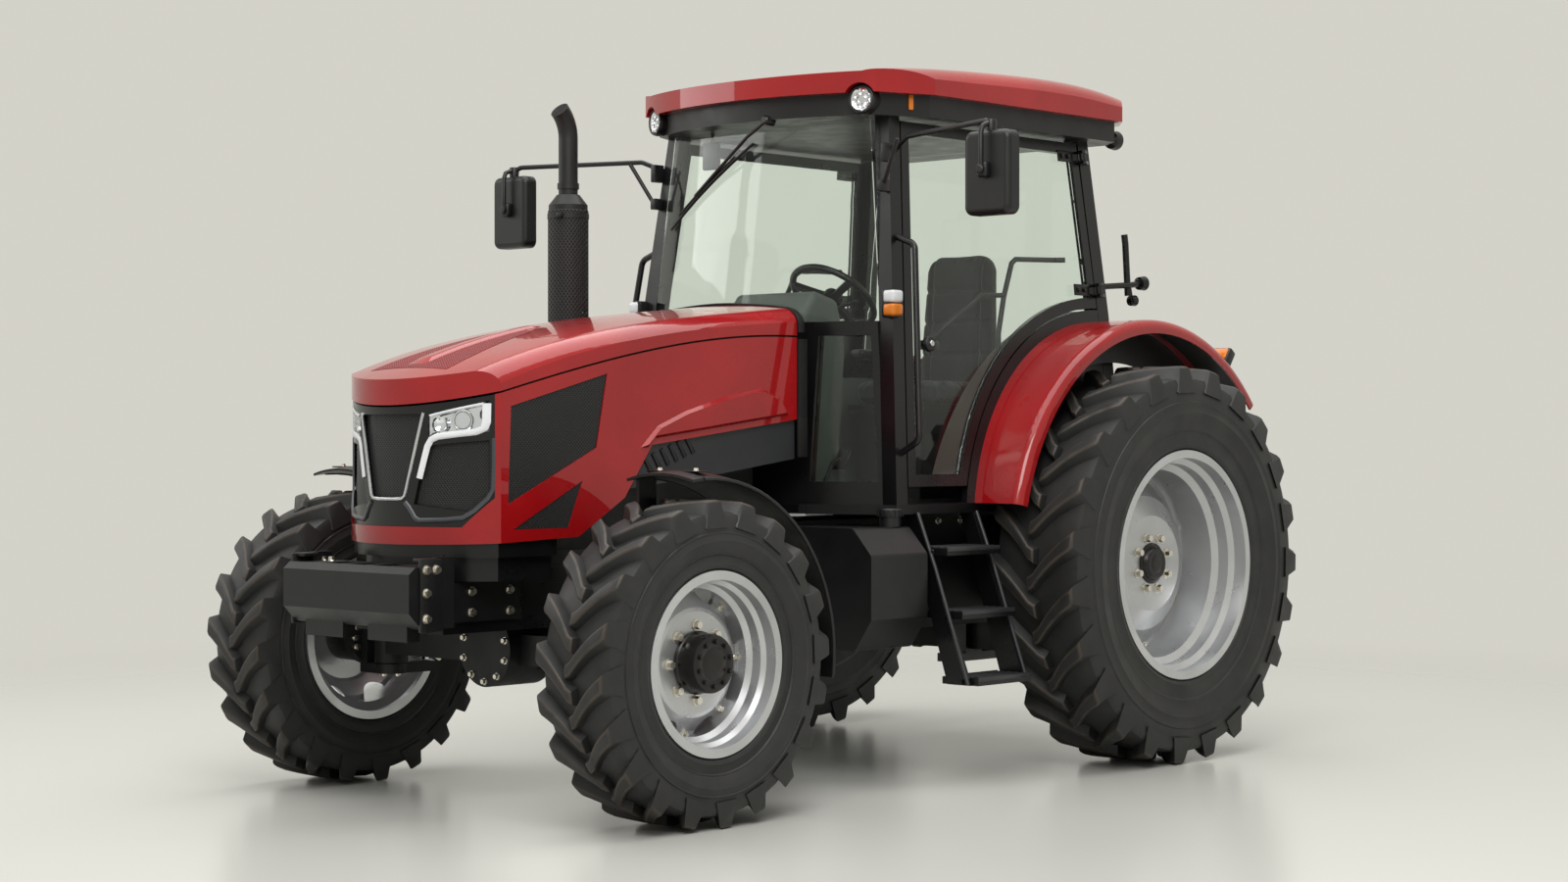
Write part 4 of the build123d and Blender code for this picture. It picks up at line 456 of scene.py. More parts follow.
# Bonnet: two pressed steel skins, a side shell and a lid hinged at its rear, in deep red under clear lacquer.
# A perforated field with a raised rib is let into the top of the lid, and black rubber closes its seam and rear edge.
body_red = coated("body_red", (0.33, 0.0048, 0.0068), 0.30, 260.0, 0.00008, gloss=0.12)
lacquer = body_red.node_tree.nodes["Principled BSDF"]
lacquer.inputs["Coat Weight"].default_value = 0.9
lacquer.inputs["Coat Roughness"].default_value = 0.03
dress(body_red, "hood_lid", "hood_shell")


def skin(name):
    """The surface of a CAD node, to lay a piece on."""
    copy = bmesh.new()
    copy.from_mesh(nodes[name].data)
    return BVHTree.FromBMesh(copy)


def perforated(name, colour, hole_shade, pitch, roughness):
    """Sheet with staggered round holes, drawn over width and height; the holes carry a painted shade colour for the
    dark seen through them.
    """
    finish, _ = new_finish(name, colour, roughness)
    tree = finish.node_tree
    coords = add_node(tree, "ShaderNodeTexCoord")
    split = add_node(tree, "ShaderNodeSeparateXYZ", {"Vector": coords.outputs["Object"]})
    width = add_node(tree, "ShaderNodeMath", {0: split.outputs["X"], 1: split.outputs["Y"]})
    sheet = add_node(tree, "ShaderNodeCombineXYZ", {"X": width.outputs["Value"], "Y": split.outputs["Z"]})
    stagger = add_node(
        tree, "ShaderNodeMapping", {"Rotation": (0, 0, radians(45)), "Vector": sheet.outputs["Vector"]}
    )
    cells = add_node(
        tree, "ShaderNodeTexVoronoi",
        {"Scale": 1 / pitch, "Randomness": 0.0, "Vector": stagger.outputs["Vector"]}, voronoi_dimensions="2D",
    )
    holes = cells.outputs["Distance"]
    # The holes get painted shade: a dark colour for the space seen through them.
    vary(finish, holes, "Base Color", [(0.30, hole_shade), (0.38, colour)])
    vary(finish, holes, "Roughness", [(0.30, 0.9), (0.38, roughness)])
    depth = add_node(tree, "ShaderNodeValToRGB", {"Fac": holes})
    depth.color_ramp.elements[0].position = 0.28
    depth.color_ramp.elements[1].position = 0.42
    add_bump(finish, depth.outputs["Color"], 0.6, 0.003)
    return finish


def thicken(shape, thickness):
    """Give a sheet its thickness, on the inner side of its faces."""
    bmesh.ops.recalc_face_normals(shape, faces=shape.faces)
    bmesh.ops.solidify(shape, geom=shape.faces[:], thickness=thickness)


# The dark red of this mesh's holes is painted shade of the space beneath them.
red_mesh = perforated("red_mesh", (0.30, 0.0090, 0.0120), (0.030, 0.0025, 0.0030), 0.010, 0.4)
grey_trim = coated("grey_trim", (0.021, 0.0225, 0.0245), 0.40, 380.0, 0.0006, gloss=0.40)
seal_rubber = coated("seal_rubber", (0.0050, 0.0050, 0.0052), 0.62, 300.0, 0.0006, gloss=0.35)
lid = skin("hood_lid")
down = Vector((0, 0, -1))
field = bmesh.new()
bmesh.ops.create_grid(field, x_segments=20, y_segments=24, size=1.0)
for vert in field.verts:
    along = (vert.co.y + 1) / 2
    half = 0.225 - 0.125 * along ** 1.3
    spot, normal, _, _ = lid.ray_cast(Vector((vert.co.x * half, -2.165 + 0.56 * along, 2.4)), down)
    vert.co = spot + normal * 0.0012
bmesh.ops.solidify(field, geom=field.faces[:], thickness=0.0008)
piece(field, "bonnet_mesh", red_mesh, "hood")
rib = bmesh.new()
bmesh.ops.create_grid(rib, x_segments=6, y_segments=24, size=1.0)
for vert in rib.verts:
    along = (vert.co.y + 1) / 2
    half = 0.050 - 0.022 * along
    spot, normal, _, _ = lid.ray_cast(Vector((vert.co.x * half, -2.125 + 0.62 * along, 2.4)), down)
    crown = (1 - vert.co.x ** 4) * min(1.0, 14 * along * (1 - along))
    vert.co = spot + normal * (0.0010 + 0.011 * crown)
piece(rib, "bonnet_rib", body_red, "hood")
hoop = bmesh.new()
bmesh.ops.create_grid(hoop, x_segments=60, y_segments=3, size=1.0)
for vert in hoop.verts:
    turn = radians(80.5) * vert.co.x
    reach = Vector((sin(turn), 0, cos(turn)))
    spot = lid.ray_cast(Vector((0, -0.480, 1.800)) + reach, -reach)[0]
    vert.co = spot + reach * (0.0125 - 0.0045 * vert.co.y ** 2) + Vector((0, 0.0290 + 0.0185 * vert.co.y, 0))
thicken(hoop, 0.016)
piece(hoop, "lid_rear_hoop", seal_rubber, "hood")
shell = skin("hood_shell")
strips = bmesh.new()
for side in (1, -1):
    made = bmesh.ops.create_grid(strips, x_segments=3, y_segments=8, size=1.0)
    for vert in made["verts"]:
        z = 1.6875 + 0.1645 * vert.co.y
        spot = shell.ray_cast(Vector((side * 0.9, -0.480, z)), Vector((-side, 0, 0)))[0]
        vert.co = spot + Vector((side * (0.0100 - 0.0040 * vert.co.x ** 2), 0.0400 + 0.0280 * vert.co.x, 0))
thicken(strips, 0.014)
for side in (1, -1):
    add_block(strips, (side * 0.4690, -0.440, 1.4410), (0.014, 0.056, 0.166), 0.004)
piece(strips, "shell_rear_strips", seal_rubber)
seam_seals = bmesh.new()
for side in (1, -1):
    run = []
    for step in range(25):
        y = -0.490 - 1.575 * step / 24
        wall = 0.4664 - 0.030 * (-0.470 - y) / 1.81
        spot = shell.ray_cast(Vector((side * (wall - 0.006), y, 2.4)), down)[0]
        run.append(spot + Vector((side * -0.0155, 0, 0.003)))
    add_tube(seam_seals, run, 0.0085)
piece(seam_seals, "bonnet_seam_seals", seal_rubber)

# Engine side panels: dark grey moulded plastic, clipped behind the lower edge of the shell.
# A row of slanted louvres lets the heat out; they are drawn as black blocks, whose dark is painted shade of the
# openings.
dress(grey_trim, "engine_panels")
# Black blocks in the louvre openings: painted shade.
louvres = bmesh.new()
for side in (1, -1):
    for step in range(6):
        place = (side * (0.4395 + 0.0007 * step), -1.312 + 0.046 * step, 1.333 + 0.0155 * step)
        add_block(louvres, place, (0.012, 0.020, 0.076), 0.003, Matrix.Rotation(radians(32), 4, "X"))
piece(louvres, "panel_louvres", black_plastic)

# Nose mask: gloss-black moulding with the grille and cheek meshes behind it and satin-chrome trim round it.
# The headlamps are clear covers over chromed bowls with a projector each and a white light blade below.
NOSE_Y = -2.280
NOSE_HALF = 0.440
NOSE_BOW = 0.200


def on_nose(x, z, inset=0.0):
    """A point on the bowed front of the bonnet, this far inside its outline."""
    half = NOSE_HALF - inset
    rise = NOSE_BOW - inset
    radius = (half ** 2 + rise ** 2) / (2 * rise)
    return Vector((x, NOSE_Y + inset + radius - sqrt(radius ** 2 - x ** 2), z))


mask_black = coated("mask_black", (0.0045, 0.0046, 0.0050), 0.22, 500.0, 0.0003, gloss=0.45)
dress(mask_black, "nose_mask")
# The near-black of this mesh's holes is painted shade of the space behind the grille.
dress(perforated("black_mesh", (0.0090, 0.0090, 0.0094), (0.0012, 0.0012, 0.0012), 0.011, 0.42), "mesh_panels")
satin_chrome = coated("satin_chrome", (0.58, 0.59, 0.61), 0.24, 300.0, 0.0002, metallic=1.0)
gunmetal = coated("gunmetal", (0.070, 0.074, 0.080), 0.34, 300.0, 0.0004, metallic=0.4)
grille_trim = bmesh.new()
grille_path = [
    (-0.184, 1.535), (-0.178, 1.515), (-0.105, 1.240), (-0.099, 1.222), (-0.086, 1.211), (-0.045, 1.208), (0.0, 1.2075),
    (0.045, 1.208), (0.086, 1.211), (0.099, 1.222), (0.105, 1.240), (0.178, 1.515), (0.184, 1.535),
]
path = [on_nose(x, z, 0.0085) for x, z in grille_path]
add_tube(grille_trim, path, 0.0065, 3)
piece(grille_trim, "grille_trim", satin_chrome)
chin = bmesh.new()
for side in (1, -1):
    arm = [
        (0.100, 1.196), (0.118, 1.178), (0.146, 1.138), (0.165, 1.128), (0.260, 1.131), (0.325, 1.139), (0.362, 1.166),
        (0.400, 1.212), (0.414, 1.246), (0.416, 1.330), (0.416, 1.440),
    ]
    add_tube(chin, [on_nose(side * x, z, 0.012) for x, z in arm], 0.011, 3)
piece(chin, "mask_ridges", gunmetal)

lamp_clear, shader = new_finish("lamp_clear", (0.96, 0.97, 0.98), 0.03)
shader.inputs["Transmission Weight"].default_value = 1.0
shader.inputs["IOR"].default_value = 1.12
vary(lamp_clear, add_noise(lamp_clear, 40.0), "Roughness", [(0.4, 0.02), (0.7, 0.05)])
lamp_chrome = coated("lamp_chrome", (0.80, 0.81, 0.83), 0.10, 120.0, 0.0004, metallic=1.0)
light_blade = coated("light_blade", (0.82, 0.83, 0.84), 0.20, 90.0, 0.0003)


def lamp_grid(shape, side, margin, inset):
    """Grid over the headlamp's opening on the bow of the nose."""
    made = bmesh.ops.create_grid(shape, x_segments=14, y_segments=6, size=1.0)
    for vert in made["verts"]:
        u = 0.5 + vert.co.x * (0.5 - margin / 0.2)
        v = 0.5 + vert.co.y * (0.5 - margin / 0.1)
        vert.co = on_nose(side * (0.205 + 0.200 * u), 1.440 + 0.022 * u + (0.090 + 0.028 * u) * v, inset)
    return made["verts"]


def ribbon(shape, line, side, half):
    """A crowned strip of light along a line on the nose."""
    points = [Vector(point) for point in line]
    made = bmesh.ops.create_grid(shape, x_segments=4 * (len(points) - 1), y_segments=6, size=1.0)
    for vert in made["verts"]:
        place = (vert.co.x + 1) / 2 * (len(points) - 1)
        step = min(int(place), len(points) - 2)
        at_line = points[step].lerp(points[step + 1], place - step)
        before, after = points[max(step - 1, 0)], points[min(step + 2, len(points) - 1)]
        near = (points[step + 1] - before).normalized()
        far = (after - points[step]).normalized()
        way = near.lerp(far, place - step).normalized()
        across = vert.co.y
        spot = at_line + Vector((-way.y, way.x)) * half * across
        vert.co = on_nose(side * spot.x, spot.y, 0.0095 - 0.0065 * (1 - across ** 4))


bowls, lenses, barrels, globes, blades = [bmesh.new() for _ in range(5)]
for side in (1, -1):
    lamp_grid(lenses, side, 0.0010, 0.0070)
    front = lamp_grid(bowls, side, 0.0015, 0.0130)
    faces = list({face for vert in front for face in vert.link_faces})
    back = bmesh.ops.extrude_face_region(bowls, geom=faces)["geom"]
    deep = [item for item in back if isinstance(item, bmesh.types.BMVert)]
    bmesh.ops.translate(bowls, vec=(0, 0.030, 0), verts=deep)
    middle = sum((vert.co for vert in deep), Vector()) / len(deep)
    for vert in deep:
        vert.co = middle + (vert.co - middle) * 0.86
    bmesh.ops.delete(bowls, geom=faces, context="FACES")
    out = Vector((side * 0.53, -0.85, 0)).normalized()
    eye = on_nose(side * 0.312, 1.506, 0.034)
    barrel = [(-0.015, 0.042), (0.006, 0.042), (0.010, 0.039), (0.009, 0.034), (0.001, 0.032), (0.0, 0.0)]
    turned(barrels, barrel, eye, out)
    turned(globes, [(0.002, 0.0315), (0.010, 0.0255), (0.0145, 0.0150), (0.0160, 0.0)], eye, out)
    for x, z in ((0.235, 1.490), (0.385, 1.528)):
        turned(
            barrels, [(0.012, 0.026), (0.008, 0.020), (0.002, 0.012), (0.0, 0.0)], on_nose(side * x, z, 0.034), out, 24
        )
    blade = [(0.3975, 1.570), (0.3965, 1.500), (0.390, 1.476), (0.366, 1.463), (0.240, 1.446), (0.214, 1.434),
             (0.199, 1.408), (0.166, 1.288)]
    ribbon(blades, blade, side, 0.0125)
    ribbon(blades, [(0.212, 1.524), (0.300, 1.546), (0.392, 1.569)], side, 0.0055)
bmesh.ops.solidify(lenses, geom=lenses.faces[:], thickness=0.003)
covers = piece(lenses, "headlamp_covers", lamp_clear)
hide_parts("headlamps")
piece(bowls, "headlamp_bowls", lamp_chrome)
piece(barrels, "headlamp_barrels", lamp_chrome)
piece(globes, "headlamp_globes", lamp_clear)
piece(blades, "headlamp_blades", light_blade)

# Exhaust: steel pipe and upright silencer in matt heat-resisting black, with a perforated guard on two clamps.
# The tip is bent forward and open; a dark disc just inside its lip is partly soot and partly painted shade of the
# pipe's bore.
heat_black = coated("heat_black", (0.0075, 0.0074, 0.0072), 0.46, 340.0, 0.0010, gloss=0.40)
dress(heat_black, "exhaust_stack")
STACK = Vector((-0.585, -0.797, 0.0))
guard = bmesh.new()
turned(guard, [(1.866, 0.0858), (1.870, 0.0885), (2.424, 0.0885), (2.428, 0.0858)], STACK, (0, 0, 1), 40)
# The near-black of the guard's holes is painted shade of the silencer behind them.
guard_mesh = perforated("guard_mesh", (0.0090, 0.0090, 0.0090), (0.002, 0.002, 0.002), 0.016, 0.5)
piece(guard, "silencer_guard", guard_mesh)
clamps = bmesh.new()
for z in (1.900, 2.390):
    turned(clamps, [(z, 0.0880), (z, 0.0910), (z + 0.022, 0.0910), (z + 0.022, 0.0880)], STACK, (0, 0, 1), 40)
    add_block(clamps, STACK + Vector((0.040, -0.088, z + 0.011)), (0.030, 0.022, 0.020), 0.003)
turned(clamps, [(2.520, 0.0425), (2.520, 0.0475), (2.545, 0.0475), (2.545, 0.0425)], STACK, (0, 0, 1), 32)
piece(clamps, "silencer_clamps", heat_black)
# Dark disc closing the mouth: partly soot, partly painted shade of the open bore.
soot_and_bore_shade = coated("soot_and_bore_shade", (0.0025, 0.0024, 0.0023), 0.9, 200.0, 0.0010)
mouth = bmesh.new()
tip_out = Vector((0, -0.710, 0.704))
tip = STACK + Vector((0, -0.050, 2.860))
turned(mouth, [(-0.004, 0.0425), (0.002, 0.0428), (0.0025, 0.0400), (0.0008, 0.0385)], tip, tip_out, 32)
piece(mouth, "exhaust_lip", heat_black)
dark = bmesh.new()
turned(dark, [(0.0006, 0.0388), (0.0008, 0.0200), (0.0010, 0.0)], tip, tip_out, 32)
piece(dark, "exhaust_mouth", soot_and_bore_shade)

# Cab frame: posts, floor, firewall and wheel houses of folded steel, welded together.
# Sprayed in the same satin black as the frame, with the sides leaning inward going up.
dress(black_paint, "cab_floor", "firewall", "rear_wall", "wheel_house_walls", "cab_posts", "grab_handles")
CAB_LEAN = radians(6.27)
FLOOR_X = 0.840
FLOOR_Z = 1.160


def side_x(z):
    """Outside of the cab at this height."""
    return FLOOR_X - tan(CAB_LEAN) * (z - FLOOR_Z)


# Glass: laminated windscreen and toughened panes with a green-grey tint, bonded into the frame.
# The wiper hangs from the head of the windscreen, a spring arm with a rubber blade on the pane.
window_glass, shader = new_finish("window_glass", (0.92, 0.975, 0.94), 0.0)
shader.inputs["Transmission Weight"].default_value = 1.0
shader.inputs["IOR"].default_value = 1.30
tints = [(0.35, (0.91, 0.970, 0.932)), (0.65, (0.93, 0.980, 0.948))]
vary(window_glass, add_noise(window_glass, 1.5), "Base Color", tints)
dress(window_glass, "cab_glass", "door_glass_left", "door_glass_right")
wiper = bmesh.new()
arm = [(0.168, -0.352, 2.790), (0.060, -0.346, 2.735), (-0.200, -0.292, 2.588), (-0.330, -0.268, 2.510)]
add_tube(wiper, arm, 0.0075)
screen = skin("cab_glass")
blade = []
for step in range(13):
    share = step / 12
    start = Vector((0.020 - 0.560 * share, -1.2, 2.716 - 0.340 * share))
    blade.append(screen.ray_cast(start, Vector((0, 1, 0)))[0] + Vector((0, -0.010, 0)))
add_tube(wiper, blade, 0.0070)
add_tube(wiper, [point + Vector((0, -0.016, 0.004)) for point in blade[2:11]], 0.0050)
turned(wiper, [(-0.045, 0.020), (0.006, 0.020), (0.012, 0.014), (0.012, 0.0)], (0.168, -0.345, 2.800), (0, -1, 0.1), 20)
piece(wiper, "windscreen_wiper", black_plastic)

# Doors: a folded steel frame with a bonded pane, hung on two hinges at the rear, with a push-button lock.
# A bent rail to pull the door shut runs across the inside of the pane.
dress(black_paint, "door_left", "door_right")
STRAP_Y = 1.156  # at the height of 2 m
HINGE_LEAN = 0.06
UPPER_RAIL = [  # y, z and depth behind the door's outside
    (1.085, 2.245, 0.030), (1.060, 2.245, 0.070), (0.770, 2.235, 0.070), (0.738, 2.215, 0.070), (0.660, 2.060, 0.070),
    (0.600, 1.900, 0.070), (0.560, 1.800, 0.050),
]
LOWER_RAIL = [
    (0.665, 2.070, 0.070), (0.500, 2.062, 0.070), (0.455, 2.040, 0.070), (0.100, 1.850, 0.070), (0.070, 1.836, 0.030)
]
for side, body in both("door"):
    rail = bmesh.new()
    for radius, path in ((0.012, UPPER_RAIL), (0.011, LOWER_RAIL)):
        add_tube(rail, [(side * (side_x(z) - depth), y, z) for y, z, depth in path], radius)
    piece(rail, f"door_rail_{body[-1]}", black_plastic, body)
    lock = bmesh.new()
    lean_out = Vector((side * cos(CAB_LEAN), 0, sin(CAB_LEAN)))
    at_lock = Vector((side * (side_x(1.837) - 0.0150), 0.045, 1.837))
    turned(lock, [(-0.024, 0.020), (0.0, 0.034), (0.014, 0.032), (0.018, 0.028), (0.018, 0.0)], at_lock, lean_out, 28)
    add_block(lock, at_lock - lean_out * 0.034 + Vector((0, 0.040, 0.0)), (0.020, 0.130, 0.040), 0.006)
    piece(lock, f"door_lock_{body[-1]}", black_plastic, body)
    button = bmesh.new()
    turned(button, [(0.017, 0.013), (0.024, 0.013), (0.026, 0.011), (0.026, 0.0)], at_lock, lean_out, 24)
    piece(button, f"door_button_{body[-1]}", satin_chrome, body)
    straps = bmesh.new()
    strap_bolts = bmesh.new()
    for z in (2.110, 2.720):
        y = STRAP_Y - HINGE_LEAN * (z - 2.000)
        place = Vector((side * side_x(z), y, z)) + lean_out * 0.003
        add_block(straps, place, (0.008, 0.110, 0.052), 0.003, Matrix.Rotation(side * CAB_LEAN, 4, "Y").inverted())
        for dy in (-0.034, 0.012):
            add_bolt(strap_bolts, place + lean_out * 0.004 + Vector((0, dy, 0)), lean_out, 0.018, 0.008)
    piece(straps, f"hinge_straps_{body[-1]}", black_paint, body)
    piece(strap_bolts, f"hinge_bolts_{body[-1]}", black_paint, body)

# Roof: a moulded red cap over a black headliner, with two round work lamps let into its front corners.
# Small amber markers sit on the headliner beside the lamps.
dress(body_red, "cab_roof")
dress(black_plastic, "headliner")
amber = coated("amber_lens", (0.72, 0.20, 0.015), 0.16, 160.0, 0.0006)
liner_skin = skin("headliner")
markers = bmesh.new()
for side in (1, -1):
    start = Vector((side * 1.10, -0.50, 2.858))
    spot, normal, _, _ = liner_skin.ray_cast(start, Vector((side * -0.36, 0.44, 0)).normalized())
    upright = facing(normal) @ Matrix.Rotation(pi / 2, 4, "Z")
    add_block(markers, spot + normal * 0.004, (0.064, 0.022, 0.012), 0.004, upright)
piece(markers, "roof_markers", amber)

# Lamps of the cab: round work lamps at the roof's front and rear corners, turn signals on the front posts and
# tail lamps on the wings. Moulded housings with chromed bowls behind clear or coloured covers.
red_lens = coated("red_lens", (0.42, 0.010, 0.010), 0.16, 160.0, 0.0006)
white_lens = coated("white_lens", (0.74, 0.75, 0.75), 0.14, 160.0, 0.0006)
housings = bmesh.new()
reflectors = bmesh.new()
covers = bmesh.new()
for side in (1, -1):
    turn = radians(18)
    out = Vector((side * sin(turn), -cos(turn), 0))
    face = Vector((side * 0.615, -0.225, 2.862))
    turned(housings, [
        (-0.010, 0.0600), (0.0090, 0.0600), (0.0150, 0.0570), (0.0160, 0.0540), (0.0150, 0.0500), (0.0100, 0.0480)
    ], face, out)
    turned(reflectors, [(0.0100, 0.0485), (0.0050, 0.0400), (0.0018, 0.0200), (0.0010, 0.0)], face, out)
    for step in range(6):
        spin = radians(60 * step + 30)
        across = Vector((cos(turn), side * sin(turn), 0))
        spot = face + across * 0.027 * cos(spin) + Vector((0, 0, 0.027 * sin(spin)))
        turned(reflectors, [(0.0020, 0.0110), (0.0085, 0.0105), (0.0060, 0.0060), (0.0055, 0.0)], spot, out, 16)
    turned(covers, [(0.0110, 0.0490), (0.0135, 0.0300), (0.0142, 0.0)], face, out)
    rear = Vector((side * 0.652, 1.500, 2.826))
    turned(housings, [
        (-0.024, 0.0), (-0.024, 0.0180), (-0.006, 0.0400), (0.030, 0.0450), (0.0360, 0.0430), (0.0370, 0.0390),
        (0.0300, 0.0370)
    ], rear, (0, 1, 0), 36)
    add_block(housings, rear + Vector((side * -0.020, 0, 0.048)), (0.040, 0.030, 0.040), 0.005)
    turned(reflectors, [(0.0300, 0.0375), (0.0120, 0.0260), (0.0060, 0.0100), (0.0050, 0.0)], rear, (0, 1, 0), 32)
    turned(covers, [(0.0310, 0.0378), (0.0345, 0.0250), (0.0355, 0.0)], rear, (0, 1, 0), 32)
piece(housings, "work_lamp_housings", black_plastic)
piece(reflectors, "work_lamp_reflectors", lamp_chrome)
lamps = piece(covers, "work_lamp_covers", lamp_clear)
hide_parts("cab_lamps")
signals, signal_white, signal_amber, tails, tail_red, tail_amber = [bmesh.new() for _ in range(6)]
for side in (1, -1):
    add_block(signals, (side * 0.748, -0.196, 2.000), (0.050, 0.068, 0.120), 0.010)
    add_block(signal_white, (side * 0.764, -0.200, 2.030), (0.060, 0.070, 0.052), 0.012, None, 3)
    add_block(signal_amber, (side * 0.764, -0.200, 1.974), (0.060, 0.070, 0.052), 0.012, None, 3)
    rise = Vector((0, 0.588, 0.809))
    back = Vector((0, 0.809, -0.588))
    stand = Matrix(((1, 0, 0, 0), (0, back.y, rise.y, 0), (0, back.z, rise.z, 0), (0, 0, 0, 1)))
    foot = Vector((side * 0.960, 1.887, 1.769))
    add_block(tails, foot + rise * 0.048, (0.150, 0.052, 0.098), 0.010, stand)
    add_block(tail_red, foot + rise * 0.030 + back * 0.026, (0.130, 0.018, 0.040), 0.006, stand)
    add_block(tail_amber, foot + rise * 0.072 + back * 0.026, (0.130, 0.018, 0.034), 0.006, stand)
    add_block(tail_amber, foot + rise * 0.058 - back * 0.024, (0.130, 0.016, 0.060), 0.006, stand)
for shape, name, finish in (
    (signals, "turn_signal_housings", black_plastic), (signal_white, "turn_signal_white", white_lens),
    (signal_amber, "turn_signal_amber", amber), (tails, "tail_lamp_housings", black_plastic),
    (tail_red, "tail_lamp_red", red_lens), (tail_amber, "tail_lamp_amber", amber),
):
    piece(shape, name, finish)

# Stay of the rear window: a forged arm bolted to the left rear post, in black paint.
# It carries an upright bar and two round knobs.
stay = bmesh.new()
add_tube(stay, [(0.690, 1.300, 2.130), (0.705, 1.420, 2.140), (0.715, 1.560, 2.150), (0.720, 1.640, 2.160)], 0.014)
add_tube(stay, [(0.700, 1.534, 2.385), (0.702, 1.540, 2.340), (0.705, 1.556, 2.100)], 0.0155)
large_knob = [(-0.022, 0.012), (-0.020, 0.030), (0.016, 0.034), (0.022, 0.029), (0.022, 0.0)]
small_knob = [(-0.018, 0.010), (-0.016, 0.024), (0.014, 0.026), (0.018, 0.022), (0.018, 0.0)]
turned(stay, large_knob, (0.720, 1.645, 2.161), (0.1, 1, 0.05), 24)
turned(stay, small_knob, (0.715, 1.580, 2.078), (0.1, 1, 0.05), 24)
add_tube(stay, [(0.712, 1.556, 2.150), (0.715, 1.570, 2.085)], 0.009)
add_block(stay, (0.690, 1.300, 2.130), (0.040, 0.050, 0.060), 0.006)
piece(stay, "rear_window_stay", black_paint)

# Rear wings: pressed steel in the bonnet's red, bolted to the wheel houses.
# The tyre's side has a black plastic liner, and a wall closes it toward the cab.
dress(body_red, "rear_wings")
WING_AT = (0, 1.270, 0.920)


def on_arc(x, radius, angle):
    """A point on an arc about the wing's centre, its angle in degrees up from the front."""
    turn = radians(angle)
    return x, WING_AT[1] - radius * cos(turn), WING_AT[2] + radius * sin(turn)


liners = bmesh.new()
for side in (1, -1):
    for edge, first, sweep, steps in (
        (((0.868, 1.0375), (1.067, 1.0375)), 14.5, 123.5, 40), (((0.822, 0.860), (0.822, 1.0395)), 68, 70.5, 24)
    ):
        ends = [liners.verts.new(on_arc(side * x, radius, first)) for x, radius in edge]
        bmesh.ops.spin(
            liners, geom=[*ends, liners.edges.new(ends)], cent=WING_AT, axis=(-1, 0, 0), angle=radians(sweep),
            steps=steps,
        )
thicken(liners, 0.002)
piece(liners, "wing_liners", black_plastic)

# Steps: ladders of folded plate bolted under the cab floor on both sides, sprayed black.
# The treads have raised ribs and a rounded front edge, worn to a dark grey; the same grey on the rods along the
# ladders' edges is a painted highlight.
dress(black_paint, "cab_steps")
STEP_LEAN = 0.31
tread_wear_and_edge_highlight_grey = coated("tread_wear_and_edge_highlight_grey", (0.030, 0.031, 0.033), 0.34, 200.0, 0.0004)
ribs = bmesh.new()
step_bolts = bmesh.new()
for side in (1, -1):
    for z in (0.420, 0.690, 0.950):
        middle = 0.830 + STEP_LEAN * (FLOOR_Z - z)
        for dx in (-0.072, -0.036, 0.0, 0.036, 0.072):
            add_block(ribs, (side * (middle + dx), 0.0575, z + 0.0315), (0.010, 0.320, 0.009), 0.002)
        add_block(ribs, (side * (middle + 0.091), 0.0575, z + 0.026), (0.010, 0.350, 0.018), 0.003)
        for y, way in ((-0.1302, -1), (0.2455, 1)):
            add_bolt(step_bolts, (side * (middle + 0.02), y, z + 0.014), (0, way, 0), 0.018, 0.010)
    # Rods along the ladder edges in the grey: painted highlight.
    for y in (-0.1375, 0.2525):
        line = [(side * 0.8460, y, 1.125), (side * 0.9400, y, 0.900), (side * 1.1150, y, 0.424)]
        add_tube(ribs, line, 0.0085)
piece(ribs, "tread_ribs", tread_wear_and_edge_highlight_grey)
piece(step_bolts, "step_bolts", black_paint)

# Fuel tank and battery box: moulded black plastic, hung on brackets beside the frame.
# The tank on the left has a ribbed screw cap.
dress(black_plastic, "side_tanks")
cap = bmesh.new()
turned(cap, [(0.0, 0.0455), (0.0, 0.0540), (0.028, 0.0540), (0.034, 0.0500), (0.036, 0.0420), (0.036, 0.0)],
       (0.790, -0.250, 1.112), (0, 0, 1), 40)
for step in range(16):
    turn = radians(22.5 * step)
    add_block(cap, (0.790 + 0.0545 * cos(turn), -0.250 + 0.0545 * sin(turn), 1.126), (0.005, 0.008, 0.026), 0.0015,
              Matrix.Rotation(turn, 4, "Z"))
piece(cap, "fuel_cap", black_plastic)

# Mirrors: moulded black shells with silvered glass in their rear faces.
# Each hangs by a knuckle from a bent tube that is clamped and braced to the front post.
dress(black_plastic, "mirrors")
MIRROR_X = 1.420
mirror_glass = coated("mirror_glass", (0.82, 0.84, 0.85), 0.03, 20.0, 0.0001, metallic=1.0)
panes = bmesh.new()
collars = bmesh.new()
for side in (1, -1):
    upright = Matrix.Rotation(pi / 2, 4, "X") @ Matrix.Diagonal((0.200, 0.304, 1, 1))
    bmesh.ops.create_grid(
        panes, x_segments=1, y_segments=1, size=0.5,
        matrix=Matrix.Translation((side * MIRROR_X, -0.3355, 2.490)) @ upright,
    )
bmesh.ops.bevel(panes, geom=panes.verts[:], offset=0.026, segments=6, profile=0.5, affect="VERTICES", material=-1)
thicken(panes, 0.002)
piece(panes, "mirror_panes", mirror_glass)
